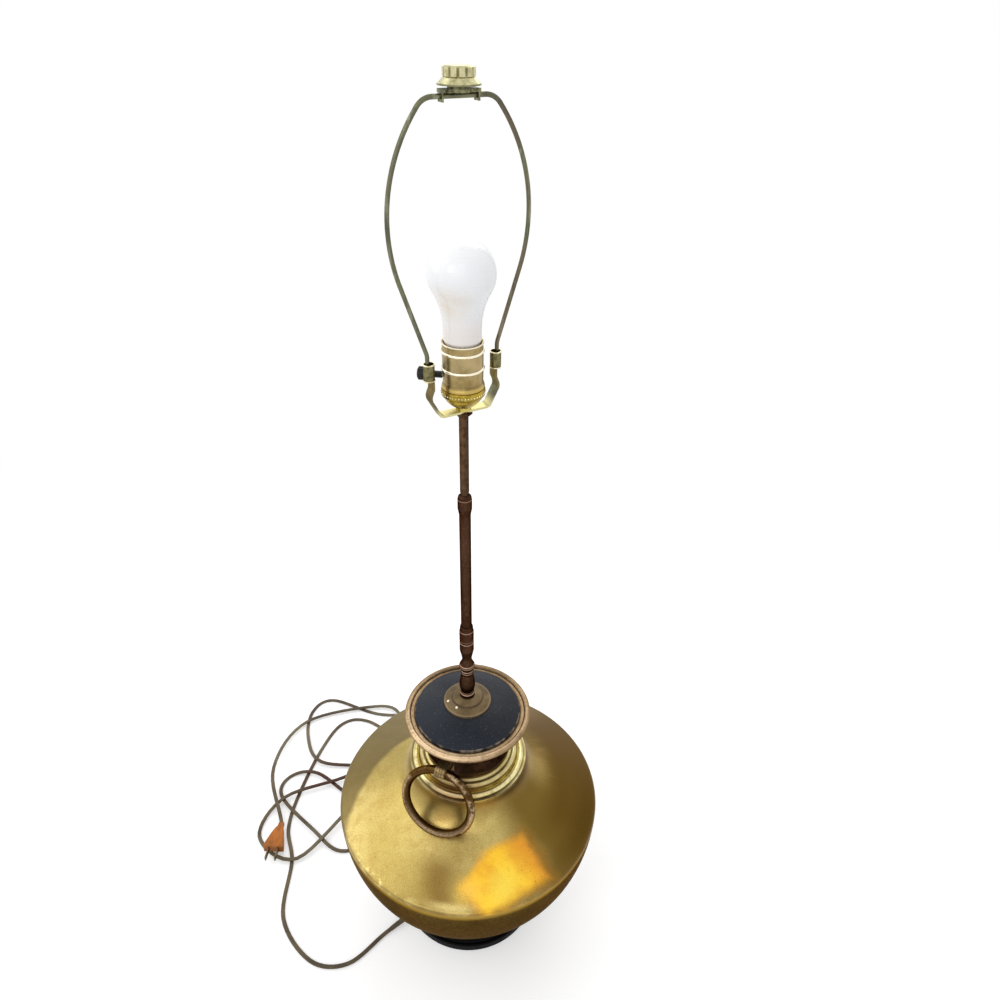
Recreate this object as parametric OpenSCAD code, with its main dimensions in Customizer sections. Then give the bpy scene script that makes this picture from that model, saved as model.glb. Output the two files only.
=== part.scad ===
// Urn table lamp: a spun brass urn on a turned plinth, with two hanging ring handles,
// a slender column, a push-through socket with a turn switch, and a harp with its finial.
// The axis of the lamp is Z, the table is at z = 0 and the front faces -Y.

/* [Plinth] */
// Radius of the turned plinth
plinth_r = 86.5; // [84:0.5:92]
// Height of the plinth above the table
plinth_top = 30; // [28:1:36]
// Radius of the seat that carries the urn
plinth_seat_r = 78; // [74:1:80]
// Thickness of the felt pad
felt_t = 1.2; // [0.8:0.1:2]
// How far the felt stands back from the plinth's edge
felt_inset = 3; // [1:0.5:8]
// Radius of the recess for the pipe's nut
recess_r = 22; // [18:1:28]
// Height of the recess above the table
recess_top = 22; // [20:0.5:23]
// Direction of the cord's hole, measured from +X
cord_azimuth = 211; // [180:1:240]
// Height of the cord's hole
cord_hole_z = 6.4; // [6.2:0.1:8]
// Outer radius of the cord's bushing
bushing_r = 3.9; // [3.7:0.1:4.2]
// Radius of the bushing's flange
bushing_flange_r = 5; // [4.6:0.1:5]
// Thickness of the bushing's flange
bushing_flange_t = 1.2; // [0.8:0.1:2]

/* [Urn] */
// Wall of the spun sheet
sheet_t = 1.2; // [0.8:0.1:2]
// Greatest radius of the belly
belly_r = 150.5; // [142:0.5:156]
// Radius of the bowl's long curve
bowl_curve = 183; // [160:1:200]
// Angle of the bowl's lower flank to the vertical
bowl_flare = 35; // [32:0.5:38]
// Radius of the turn from belly to shoulder
belly_turn = 5; // [4:0.5:8]
// Depth of the slip joint inside the belly
slip_depth = 6; // [4:0.5:9]
// Slope of the shoulder
shoulder_slope = 26.6; // [24:0.2:29]
// Radius at the foot of the neck's moulding
moulding_r = 65.5; // [63:0.5:68]
// Height at the foot of the neck's moulding
moulding_z = 266; // [262:0.5:270]
// Height of the moulding's outer edge
moulding_edge = 5; // [4:0.5:6]
// Radius of the moulding's large bead
bead_r = 3.7; // [3:0.1:4.2]
// Radius of the moulding's small bead
small_bead_r = 3.5; // [3:0.1:4]
// Outer radius of the neck
neck_r = 45.5; // [43:0.5:48]
// Height of the neck's lower end
neck_z = 286; // [284:0.5:288]
// Height of the neck's upper end
neck_top = 334; // [330:1:340]
// Thickness of the band round the neck
band_t = 1.8; // [1.2:0.1:2.6]
// Gap between the band and the moulding
band_gap = 6; // [4:0.5:8]
// Height of the band
band_h = 36; // [34:0.5:36]

/* [Rim and lid] */
// Radius of the rim's round bead, centre line
rim_r = 64.6; // [62:0.2:68]
// Radius of the bead itself
rim_bead_r = 3.4; // [2.8:0.1:4]
// Thickness of the rim's flange
rim_flange_t = 2.5; // [2:0.1:3.5]
// Height of the ledge above the flange
rim_ledge_h = 4; // [3:0.1:5]
// Radius of the lid
lid_r = 57; // [55:0.5:58]
// Height of the lid's upright edge
lid_edge_h = 7; // [5:0.2:9]
// Height of the lid at its flat centre
lid_h = 19; // [16:0.2:22]
// Radius of the lid's flat centre
lid_flat_r = 26; // [25:0.2:28]
// Wall of the lid
lid_t = 1.6; // [1:0.1:2.4]

/* [Ring handles] */
// Direction of the front ring, measured from +X
ring_azimuth = 247.4; // [235:0.2:270]
// Mean radius of a ring
ring_r = 38.2; // [36:0.1:39]
// Radius of a ring's bar
ring_bar_r = 4.5; // [4:0.1:4.6]
// Distance of the ring's pivot from the lamp's axis
pivot_out = 64.1; // [62.5:0.1:66]
// Height of the ring's pivot
pivot_z = 313; // [310:0.5:314]
// Gap between a resting ring and the shoulder
ring_rest_gap = 0.35; // [0.3:0.05:0.8]
// Play of the ring's bar in its eye
eye_play = 0.8; // [0.7:0.05:1]
// Width of the eye's strap
eye_w = 11.5; // [10:0.5:13]
// Thickness of the eye's strap
eye_t = 1.6; // [1.2:0.1:2]
// Height of the bracket's back plate
bracket_h = 28; // [27:0.5:30]
// Angle that the back plate covers
bracket_angle = 15; // [14:0.5:20]
// Radius of a rivet's shank
rivet_r = 1; // [0.8:0.1:1.3]
// Distance between a bracket's rivets
rivet_pitch = 21.4; // [21:0.2:22.4]

/* [Column] */
// Outer radius of the lamp pipe
pipe_r = 3.8; // [3.6:0.1:4.2]
// Bore radius of the lamp pipe
pipe_bore_r = 2.9; // [2.5:0.1:3]
// Radius of the canopy
canopy_r = 25.2; // [23:0.2:26]
// Height of the canopy
canopy_h = 11; // [9:0.2:14]
// Height of the turned baluster
baluster_h = 98.5; // [92:0.5:106]
// Radius of the baluster's foot
baluster_r = 7.9; // [7.6:0.1:8.4]
// Outer radius of the column's tube
column_r = 5.4; // [5.2:0.1:5.8]
// Length of the pipe from the column's upper end to the saddle
pipe_show = 104; // [92:1:114]
// Outer radius of the coupling on the column
coupling_r = 6.6; // [6.3:0.1:7.2]
// Height of the coupling
coupling_h = 21.5; // [18:0.5:26]

/* [Harp] */
// Height of the saddle's plate
saddle_z = 704; // [696:1:712]
// Thickness of the saddle's strap
saddle_t = 2; // [1.6:0.1:2.4]
// Width of the saddle's strap
saddle_w = 9.5; // [8.5:0.1:11]
// Width of the saddle's tips
tip_w = 4; // [3.6:0.1:4.4]
// Angle of the harp's plane to X
harp_turn = 29.3; // [20:0.1:40]
// Radius of the harp's wire
wire_r = 1.7; // [1.5:0.05:1.8]
// Distance of the harp's feet from the axis
harp_foot = 30.8; // [29:0.1:32]
// Height of the harp's feet above the saddle's plate
harp_foot_up = 36; // [35:0.5:38]
// Height of the harp above its feet
harp_h = 197; // [190:1:212]
// Half length of the harp's flat top
harp_flat = 20; // [18:0.5:24]
// Bore radius of the sleeves
sleeve_bore_r = 3.8; // [3.7:0.05:4]
// Wall of the sleeves
sleeve_t = 0.8; // [0.6:0.05:1]
// Length of the sleeves
sleeve_h = 14.4; // [12:0.2:15]
// Half length of the harp's plate
plate_half = 14.1; // [13:0.1:15]
// Thickness of the plate
plate_t = 2.4; // [2:0.1:3]
// Radius of the boss on the plate
boss_r = 8; // [6:0.1:9]
// Radius of the stud in the finial
stud_r = 3.2; // [2.8:0.1:3.6]
// Radius of the finial's flange
finial_flange_r = 14.9; // [13:0.1:16]
// Radius of the finial's knob
finial_r = 11.2; // [10:0.1:12]
// Height of the finial
finial_h = 11.4; // [10.6:0.1:14]
// Number of flutes on the finial
finial_flutes = 12; // [8:1:16]

/* [Socket] */
// Outer radius of the socket's shell
shell_r = 16.4; // [16.2:0.1:17]
// Wall of the socket's shell
shell_t = 0.6; // [0.5:0.05:0.8]
// Height of the shell above its seat in the cap
shell_h = 44.6; // [43:0.2:48]
// How far the shell's beads stand out
shell_bead = 1.2; // [0.8:0.1:1.4]
// Height of the socket's cap
cap_h = 20; // [18:0.5:22]
// Radius of the cap's beaded edge
cap_edge_r = 18; // [17.6:0.1:19]
// Height of the switch above the saddle's plate
switch_up = 31.5; // [31:0.5:33]
// Direction of the switch, measured from +X
switch_azimuth = 173; // [160:1:190]
// Radius of the switch's shaft
shaft_r = 2; // [1.8:0.1:2.2]
// Radius of the switch's ribbed grip
grip_r = 5.5; // [5:0.1:6.5]
// Length of the switch's ribbed grip
grip_l = 12; // [10:0.5:15]
// Number of ribs on the grip
grip_ribs = 14; // [10:1:18]
// Bore radius of the screw shell
screw_bore_r = 13.2; // [13.1:0.05:13.4]

/* [Bulb] */
// Radius of the bulb's globe
globe_r = 26.5; // [24:0.1:27]
// Height of the globe's centre above the bulb's cap
globe_up = 56; // [52:0.5:58]
// Radius of the bulb's neck
bulb_neck_r = 15.4; // [14.6:0.1:15.5]
// Wall of the glass
glass_t = 0.8; // [0.6:0.05:1]
// Height of the bulb's metal cap
bulb_cap_h = 21; // [20:0.5:22]

/* [Cord] */
// Width of the flat cord
cord_w = 5.2; // [5:0.1:5.6]
// Thickness of the flat cord
cord_t = 2.6; // [2.4:0.1:2.7]
// Length of the plug's body
plug_l = 42; // [36:1:46]
// Width of the plug's body
plug_w = 27; // [24:0.5:29]
// Thickness of the plug's body
plug_t = 12; // [10:0.5:14]
// Length of the plug's blades
blade_l = 16; // [15:0.5:18]

/* [Hidden] */
$fn = 96;

// Clearances between pieces that nest, slide or turn
nest_gap = 0.1;
turn_gap = 0.05;
lift_gap = 0.3;
// How far a cutting tool runs past what it cuts
over = 1;

function arc(centre, r, from, to, steps = 16) =
  [for (i = [0 : steps]) let (a = from + (to - from) * i / steps) centre + r * [cos(a), sin(a)]];

// A smooth curve through a few stations
function spline_point(a, b, c, d, t) =
  0.5 * (2 * b + (c - a) * t + (2 * a - 5 * b + 4 * c - d) * t * t + (3 * b - 3 * c + d - a) * t * t * t);
function spline(stations, steps) =
  let (last = len(stations) - 1)
  concat(
    [for (i = [0 : last - 1], k = [0 : steps - 1])
      let (a = i > 0 ? stations[i - 1] : 2 * stations[0] - stations[1])
      let (d = i < last - 1 ? stations[i + 2] : 2 * stations[last] - stations[last - 1])
      spline_point(a, stations[i], stations[i + 1], d, k / steps)],
    [stations[last]]);

function reversed(points) = [for (i = [len(points) - 1 : -1 : 0]) points[i]];

module turned(points) rotate_extrude() polygon(points);
module toward(azimuth, z = 0) rotate([0, 0, azimuth]) translate([0, 0, z]) children();
// A cylinder that lies along a radius, from one distance to another
module radial(r, from, to) translate([from, 0, 0]) rotate([0, 90, 0]) cylinder(h = to - from, r = r);
module tube(outer, inner, h) difference() {
  cylinder(h = h, r = outer);
  translate([0, 0, -over]) cylinder(h = h + 2 * over, r = inner);
}

pipe_hole = pipe_r + nest_gap;

// Plinth
nut_h = 5;
nut_r = 8;
washer_r = 19;
washer_t = 1.6;
pipe_foot = recess_top - washer_t - nut_h - 1.4;
plinth_edge = 13;
plinth_step = 2.2;
cord_hole_r = bushing_r + nest_gap;
bushing_bore_r = cord_w / 2 + 0.3;

module base_felt() color("#2a2a28") tube(plinth_r - felt_inset, recess_r - 2, felt_t);

module base_plinth() color("#17151a") difference() {
  turned(concat(
    [[pipe_hole, felt_t], [plinth_r - 2, felt_t]],
    arc([plinth_r - 2, felt_t + 2], 2, -90, 0, 6),
    arc([plinth_r - 2, plinth_edge - 2], 2, 0, 90, 6),
    [[plinth_r - plinth_step - 1.5, plinth_edge]],
    arc([plinth_r - 1, plinth_top - 4], plinth_top - 4 - plinth_edge - 1, 250, 180, 10),
    [[plinth_seat_r + 1, plinth_top - 2.5], [plinth_seat_r, plinth_top], [pipe_hole, plinth_top]]));
  translate([0, 0, felt_t - over]) cylinder(h = recess_top - felt_t + over, r = recess_r);
  toward(cord_azimuth, cord_hole_z) radial(cord_hole_r, recess_r - 3, plinth_r + over);
}

module cord_bushing() color("#101010") toward(cord_azimuth, cord_hole_z) difference() {
  union() {
    radial(bushing_r, plinth_r - 14, plinth_r);
    radial(bushing_flange_r, plinth_r, plinth_r + bushing_flange_t);
  }
  radial(bushing_bore_r, plinth_r - 15, plinth_r + bushing_flange_t + over);
}

// Urn: a cone and one long arc up to the belly, a tight turn, a straight slope and a cove above it
slope_out = [sin(shoulder_slope), cos(shoulder_slope)];
cove_r = 33.6;
cove_centre = [moulding_r + cove_r, moulding_z];
cove_foot = cove_centre - cove_r * slope_out;
turn_r = belly_r - belly_turn;
slope_run = turn_r + belly_turn * slope_out[0] - cove_foot[0];
turn_z = cove_foot[1] - slope_run * tan(shoulder_slope) - belly_turn * slope_out[1];
bowl_centre = [belly_r - bowl_curve, turn_z];

// The bowl's skin, drawn in by a depth, from its foot to the belly
function bowl_skin(depth) =
  let (r = bowl_curve - depth, z = plinth_top + depth)
  let (knee = bowl_centre + r * [cos(bowl_flare), -sin(bowl_flare)])
  concat([[knee[0] - (knee[1] - z) * tan(bowl_flare), z]], arc(bowl_centre, r, -bowl_flare, 0, 20));

// The shoulder's skin, drawn in by a depth, from the belly to the foot of the moulding
function shoulder_skin(depth) = concat(
  arc([turn_r, turn_z], belly_turn - depth, 0, 90 - shoulder_slope, 8),
  arc(cove_centre, cove_r + depth, 270 - shoulder_slope, 180, 14));

module urn_bowl() color("#7d5f33") turned(concat(
  [[pipe_hole, plinth_top]], bowl_skin(0),
  reversed(bowl_skin(sheet_t)), [[pipe_hole, plinth_top + sheet_t]]));

module urn_shoulder() color("#c9972f") {
  turned(concat(shoulder_skin(0), reversed(shoulder_skin(sheet_t))));
  lip_r = belly_r - sheet_t - nest_gap;
  translate([0, 0, turn_z]) turned([
    [lip_r + nest_gap, 0], [lip_r + nest_gap, 1], [lip_r - sheet_t, 1], [lip_r - sheet_t, -slip_depth],
    [lip_r - 1, -slip_depth], [lip_r - 0.4, 0]]);
}

// Moulding: an upright edge and two beads that step in to the neck
big_bead = [moulding_r - 6.6, moulding_z + moulding_edge + 1.5];
small_bead = [neck_r + 5.6, neck_z - 5.6];
neck_bore_r = neck_r - sheet_t;

module neck_moulding() color("#d3a23a") turned(concat(
  [[moulding_r - sheet_t, moulding_z], [moulding_r, moulding_z], [moulding_r, moulding_z + moulding_edge],
    [big_bead[0] + bead_r, big_bead[1] - 0.9]],
  arc(big_bead, bead_r, 0, 165, 12),
  arc(small_bead, small_bead_r, -5, 130, 12),
  [[neck_r + 1.2, neck_z - 1.5], [neck_r + 1, neck_z], [neck_bore_r, neck_z], [neck_bore_r, neck_z - 3],
    [moulding_r - 8, moulding_z]]));

module urn_neck() color("#8a6a35") difference() {
  translate([0, 0, neck_z]) tube(neck_r, neck_bore_r, neck_top - neck_z);
  rivet_holes();
}

// Band round the neck, which carries the brackets
band_z = neck_z + band_gap;
band_bore_r = neck_r + nest_gap;
band_r = neck_r + band_t;
band_chamfer = 0.6;

module neck_band() color("#4a3a22") difference() {
  turned([
    [band_bore_r, band_z], [band_r - band_chamfer, band_z], [band_r, band_z + band_chamfer],
    [band_r, band_z + band_h - band_chamfer], [band_r - band_chamfer, band_z + band_h],
    [band_bore_r, band_z + band_h]]);
  rivet_holes();
}

// Rim: a collar, a flange and a ledge, with a round bead outside
rim_top = neck_top + rim_flange_t;
ledge_r = lid_r + 5;
rim_z = rim_top + 3.1;
collar_z = band_z + band_h + lift_gap;

module rim_ring() color("#6b4a26") rotate_extrude() {
  polygon([
    [neck_r + nest_gap, collar_z], [neck_r + 2.6, collar_z], [neck_r + 2.6, neck_top],
    [ledge_r, neck_top], [rim_r, rim_z - rim_bead_r + 1], [rim_r, rim_z],
    [ledge_r, rim_top + rim_ledge_h], [lid_r + 0.2, rim_top + rim_ledge_h], [lid_r + 0.2, rim_top],
    [neck_bore_r - 2, rim_top], [neck_bore_r - 2, neck_top], [neck_r + nest_gap, neck_top]]);
  translate([rim_r, rim_z]) circle(rim_bead_r);
}

// Lid: a spun disc with an upright edge and a low dome up to a flat centre
lid_bevel = 0.8;
lid_shoulder = [lid_r - lid_bevel, lid_edge_h];
dome_rise = lid_h - lid_edge_h;
dome_sink = (pow(lid_shoulder[0], 2) - pow(lid_flat_r, 2) - dome_rise * dome_rise) / (2 * dome_rise);
dome_centre = [0, lid_edge_h - dome_sink];
dome_r = norm([lid_shoulder[0], dome_sink]);

function dome(depth, outer) =
  let (r = dome_r - depth)
  arc(dome_centre, r, acos(outer / r), acos(lid_flat_r / dome_r), 10);

module lid_disc() color("#1b1d28") translate([0, 0, rim_top]) difference() {
  turned(concat(
    [[lid_r, 0], [lid_r, lid_edge_h - lid_bevel]],
    dome(0, lid_shoulder[0]),
    [[pipe_hole, lid_h], [pipe_hole, lid_h - lid_t]],
    reversed(dome(lid_t, lid_r - lid_t)),
    [[lid_r - lid_t, 0]]));
}

// Ring handles and their brackets
pivot = [pivot_out, pivot_z];
reach = 2 * ring_r;
ring_clear = ring_bar_r + ring_rest_gap;
slope_need = ring_clear - (pivot - cove_foot) * slope_out;
hang_on_slope = acos(slope_need / reach) - (90 - shoulder_slope);
cove_span = norm(cove_centre - pivot);
cove_bearing = atan2(pivot[1] - cove_centre[1], cove_centre[0] - pivot[0]);
hang_in_cove = cove_bearing - acos(
  (reach * reach + cove_span * cove_span - pow(cove_r - ring_clear, 2)) / (2 * reach * cove_span));
touches_slope = pivot[0] + reach * cos(hang_on_slope) - ring_clear * slope_out[0] > cove_foot[0];
ring_hang = touches_slope ? hang_on_slope : hang_in_cove;
eye_bore_r = ring_bar_r + eye_play;
eye_r = eye_bore_r + eye_t;
plate_in = band_r + nest_gap;
plate_out = plate_in + eye_t;
rivet_head_r = 1.9;
rivet_head_t = 1.2;
ring_azimuths = [ring_azimuth, ring_azimuth - 180];

module rivet_holes() for (azimuth = ring_azimuths, side = [-1, 1])
  toward(azimuth, pivot_z + side * rivet_pitch / 2)
    radial(rivet_r + turn_gap, neck_bore_r - 2, plate_out + over);

module ring_handle(azimuth) color("#4b3a24") toward(azimuth)
  translate([pivot_out, 0, pivot_z]) rotate([0, ring_hang, 0]) translate([ring_r, 0, 0])
    rotate_extrude() translate([ring_r, 0]) circle(ring_bar_r);

module handle_bracket(azimuth) color("#57431f") difference() {
  toward(azimuth) {
    rotate([0, 0, -bracket_angle / 2]) translate([0, 0, pivot_z - bracket_h / 2])
      rotate_extrude(angle = bracket_angle) translate([plate_in, 0]) square([eye_t, bracket_h]);
    translate([0, eye_w / 2, pivot_z]) rotate([90, 0, 0]) linear_extrude(eye_w) difference() {
      union() {
        translate([pivot_out, 0]) circle(eye_r);
        translate([plate_in + eye_t / 2, -eye_r])
          square([pivot_out - plate_in - eye_t / 2, 2 * eye_r]);
      }
      translate([pivot_out, 0]) circle(eye_bore_r);
      translate([plate_in + eye_t, -eye_bore_r]) square([pivot_out - plate_in - eye_t, 2 * eye_bore_r]);
    }
  }
  rivet_holes();
}

module bracket_rivets() color("#6f552a") for (azimuth = ring_azimuths, side = [-1, 1])
  toward(azimuth, pivot_z + side * rivet_pitch / 2) {
    radial(rivet_r, neck_bore_r - 0.4, plate_out);
    translate([plate_out, 0, 0]) rotate([0, 90, 0])
      cylinder(h = rivet_head_t, r1 = rivet_head_r, r2 = rivet_head_r - 0.7);
  }

module handle_bracket_front() handle_bracket(ring_azimuths[0]);
module handle_bracket_rear() handle_bracket(ring_azimuths[1]);
module ring_handle_front() ring_handle(ring_azimuths[0]);
module ring_handle_rear() ring_handle(ring_azimuths[1]);

// Column
canopy_z = rim_top + lid_h;
baluster_z = canopy_z + canopy_h;
column_z = baluster_z + baluster_h;
column_top = saddle_z - pipe_show;
pipe_top = saddle_z + saddle_t + 6;
coupling_taper = 5.5;
coupling_dome = 5;

module canopy() color("#7a5228") translate([0, 0, canopy_z]) turned([
  [pipe_hole, 0], [canopy_r, 0], [canopy_r, 2.5], [canopy_r - 8.2, canopy_h - 5],
  [canopy_r - 9.2, canopy_h - 3], [9, canopy_h], [pipe_hole, canopy_h]]);

// The baluster's outline from the foot up, drawn for a foot of radius 7.9 and a height of 98.5
lower_vase = spline([[6.5, 6.6], [7.9, 11.5], [8.3, 16], [7.4, 24], [6.1, 30.5]], 4);
upper_vase = spline([[7.2, 45.6], [5.6, 49.5], [5, 53], [5.8, 58.5], [7.1, 64.5]], 4);
baluster_outline = concat(
  [[7.9, 0], [7.9, 3.6], [7.5, 4.2], [6.7, 5.2], [6.7, 5.8]],
  lower_vase,
  [[6.6, 32], [6.6, 33.4], [6.2, 34], [6.8, 34.8], [6.8, 36.6], [6.4, 37.2], [7.2, 38.4], [8.1, 41],
    [8.2, 43], [7.9, 44.6]],
  upper_vase,
  [[7.3, 66], [7.3, 75.8], [6.9, 76.4], [7.2, 77.2], [7.2, 78.2], [6.9, 79], [7.3, 79.8], [7.3, 91.3],
    [7, 91.8], [7, 92.4], [6.8, 93], [6.6, 96.4], [6.1, 98.5]]);
drawn_foot = baluster_outline[0];
drawn_top = baluster_outline[len(baluster_outline) - 1];

module column_baluster() color("#5d4424") translate([0, 0, baluster_z]) turned(concat(
  [[pipe_hole, 0]],
  [for (p = baluster_outline) [p[0] * baluster_r / drawn_foot[0], p[1] * baluster_h / drawn_top[1]]],
  [[pipe_hole, baluster_h]]));

module column_tube() color("#6a4e2a") translate([0, 0, column_z])
  tube(column_r, pipe_hole, column_top - column_z);

module column_coupling() color("#54401f") translate([0, 0, column_top]) turned([
  [pipe_hole, 0], [column_r, 0], [coupling_r - 0.2, coupling_taper], [coupling_r, coupling_taper + 1],
  [coupling_r, coupling_h - coupling_dome - 0.6], [coupling_r - 0.4, coupling_h - coupling_dome - 0.3],
  [coupling_r, coupling_h - coupling_dome], [coupling_r - 0.6, coupling_h - 2],
  [coupling_r - 2.4, coupling_h], [pipe_hole, coupling_h]]);

module lamp_pipe() color("#8d7443") translate([0, 0, pipe_foot])
  tube(pipe_r, pipe_bore_r, pipe_top - pipe_foot);

module pipe_washer() color("#a9a9a4") translate([0, 0, recess_top - washer_t])
  tube(washer_r, pipe_r + 0.3, washer_t);

module hex_nut(r, h) difference() {
  cylinder(h = h, r = r, $fn = 6);
  translate([0, 0, -over]) cylinder(h = h + 2 * over, r = pipe_r + turn_gap);
}

module pipe_nut() color("#b0a27a") translate([0, 0, recess_top - washer_t - nut_h]) hex_nut(nut_r, nut_h);

locknut_h = 2.5;
locknut_r = 7.5;
locknut_gap = 0.02;
module saddle_locknut() color("#9c8350") translate([0, 0, saddle_z - locknut_h - locknut_gap])
  hex_nut(locknut_r, locknut_h);

// Harp: a saddle under the socket, a wire that is bent from straights and arcs, and two sleeves
harp_foot_z = saddle_z + harp_foot_up;
tip_mid = harp_foot - wire_r - lift_gap / 2 - saddle_t / 2;
tip_shoulder_z = saddle_z + 33;
tip_top_z = saddle_z + 40.5;
saddle_out = harp_foot - saddle_t / 2 + 0.6;
saddle_flat = 19.8;
saddle_line = [
  [0, saddle_z + saddle_t / 2], [saddle_flat, saddle_z + saddle_t / 2], [saddle_flat + 2.5, saddle_z + 2.2],
  [saddle_out - 0.4, saddle_z + 16.6], [saddle_out, saddle_z + 19], [saddle_out - 0.4, saddle_z + 21.5],
  [tip_mid, saddle_z + 26.5], [tip_mid, tip_top_z]];

function unit(v) = v / norm(v);
function left_of(v) = [-v[1], v[0]];
function side_of(line, i) =
  let (last = len(line) - 1)
  let (before = i > 0 ? unit(line[i] - line[i - 1]) : unit(line[1] - line[0]))
  let (after = i < last ? unit(line[i + 1] - line[i]) : before)
  left_of(before + after) / (1 + before * after);
function strip(line, half) = concat(
  [for (i = [0 : len(line) - 1]) line[i] + half * side_of(line, i)],
  [for (i = [len(line) - 1 : -1 : 0]) line[i] - half * side_of(line, i)]);

module harp_frame() rotate([0, 0, harp_turn]) children();
module both_sides() {
  children();
  mirror([1, 0, 0]) children();
}

module saddle_leg() difference() {
  translate([0, saddle_w / 2, 0]) rotate([90, 0, 0])
    linear_extrude(saddle_w) polygon(strip(saddle_line, saddle_t / 2));
  for (side = [-1, 1]) translate([harp_foot - 12, 0, 0]) rotate([90, 0, 90]) linear_extrude(20) polygon([
    [side * tip_w / 2, tip_shoulder_z], [side * saddle_w, tip_shoulder_z],
    [side * saddle_w, tip_top_z + over], [side * tip_w / 2, tip_top_z + over]]);
}

module harp_saddle() color("#6d5a30") harp_frame() difference() {
  both_sides() saddle_leg();
  translate([0, 0, saddle_z - over]) cylinder(h = saddle_t + 2 * over, r = pipe_r + turn_gap);
}

// Bends of half the harp, from the middle of its top: straight length, bend radius, bend angle.
// The flank's radius closes the height between the top and the upright leg in its sleeve.
harp_lean = 18.5;
crown_bend = 52;
crown_r = 14;
lower_r = 130;
foot_bend_r = 12;
sleeve_z = tip_shoulder_z + lift_gap;
leg_l = sleeve_z + sleeve_h - harp_foot_z + 5;
crown_out = harp_flat + crown_r * sin(crown_bend);
lean_out = crown_out - (lower_r + foot_bend_r) * (1 - cos(harp_lean)) - harp_foot;
bends_h = crown_r * (1 - cos(crown_bend)) + (lower_r + foot_bend_r) * sin(harp_lean);
fixed_h = leg_l + bends_h + lean_out / tan(harp_lean);
flank_r = (harp_h - fixed_h) / (cos(crown_bend) + (1 - sin(crown_bend)) / tan(harp_lean));
lean_l = (lean_out + flank_r * (1 - sin(crown_bend))) / sin(harp_lean);
harp_bends = [
  [harp_flat, crown_r, -crown_bend], [0, flank_r, crown_bend - 90], [0, lower_r, -harp_lean],
  [lean_l, foot_bend_r, harp_lean], [leg_l, 0, 0]];

// A thin collar, a hair thicker than the bar, closes each joint between a straight and a bend
module joint_collar(r) translate([-0.4, 0, 0]) radial(r + 0.05, 0, 0.8);
module bent_bar(r, bends, i = 0) if (i < len(bends)) {
  l = bends[i][0];
  bend_r = bends[i][1];
  angle = bends[i][2];
  turn = sign(angle);
  joint_collar(r);
  translate([l, 0, 0]) joint_collar(r);
  if (l > 0) rotate([0, 90, 0]) cylinder(h = l, r = r);
  if (bend_r > 0) translate([l, turn * bend_r, 0]) rotate([0, 0, turn > 0 ? -90 : 90 + angle])
    rotate_extrude(angle = abs(angle)) translate([bend_r, 0]) circle(r);
  translate([l + bend_r * sin(abs(angle)), turn * bend_r * (1 - cos(angle)), 0])
    rotate([0, 0, angle]) bent_bar(r, bends, i + 1);
}

module harp_wire() color("#756a35") harp_frame() both_sides()
  translate([0, 0, harp_foot_z + harp_h]) rotate([90, 0, 0]) bent_bar(wire_r, harp_bends);

sleeve_mid = (tip_mid - saddle_t / 2 + harp_foot + wire_r) / 2;
module harp_sleeve(side) color("#a5883f") harp_frame()
  translate([side * sleeve_mid, 0, sleeve_z]) tube(sleeve_bore_r + sleeve_t, sleeve_bore_r, sleeve_h);
module harp_sleeve_left() harp_sleeve(-1);
module harp_sleeve_right() harp_sleeve(1);

harp_top_z = harp_foot_z + harp_h + wire_r;
plate_z = harp_top_z + lift_gap;
boss_h = plate_t + 1.6;
finial_z = plate_z + boss_h + lift_gap;
plate_w = 9.5;
ear_t = 1.2;
ear_w = 7;
ear_drop = 5.4;
wire_hole = wire_r + nest_gap;

module harp_plate() color("#9b7d3a") harp_frame() difference() {
  union() {
    translate([-plate_half, -plate_w / 2, plate_z]) cube([2 * plate_half, plate_w, plate_t]);
    translate([0, 0, plate_z]) cylinder(h = boss_h, r = boss_r);
    both_sides() translate([plate_half - ear_t, -ear_w / 2, plate_z - ear_drop])
      cube([ear_t, ear_w, ear_drop + plate_t / 2]);
  }
  translate([0, 0, plate_z - over]) cylinder(h = boss_h + 2 * over, r = stud_r + turn_gap);
  translate([0, 0, harp_foot_z + harp_h]) radial(wire_hole, -plate_half - over, plate_half + over);
}

stud_top_z = finial_z + finial_h - 2.7;
module shade_stud() color("#b59a55") translate([0, 0, plate_z])
  cylinder(h = stud_top_z - plate_z, r = stud_r);

knob_h = 6.2;
knob_foot = finial_h - knob_h;
knob_bevel = 0.8;
flute_r = 0.9;
flange_t = 1.2;
module finial() color("#e6cf8e") translate([0, 0, finial_z]) difference() {
  union() {
    cylinder(h = flange_t, r = finial_flange_r);
    turned([[0, flange_t], [finial_flange_r - 0.8, flange_t], [finial_r - 0.9, knob_foot], [0, knob_foot]]);
    translate([0, 0, knob_foot]) linear_extrude(knob_h - knob_bevel) difference() {
      circle(finial_r);
      for (i = [0 : finial_flutes - 1]) rotate(360 * i / finial_flutes)
        translate([finial_r + 0.2, 0]) circle(flute_r, $fn = 24);
    }
    translate([0, 0, finial_h - knob_bevel])
      cylinder(h = knob_bevel, r1 = finial_r - 0.9, r2 = finial_r - 1.9);
  }
  translate([0, 0, -over]) cylinder(h = stud_top_z - finial_z + over + lift_gap, r = stud_r + nest_gap);
}

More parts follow.
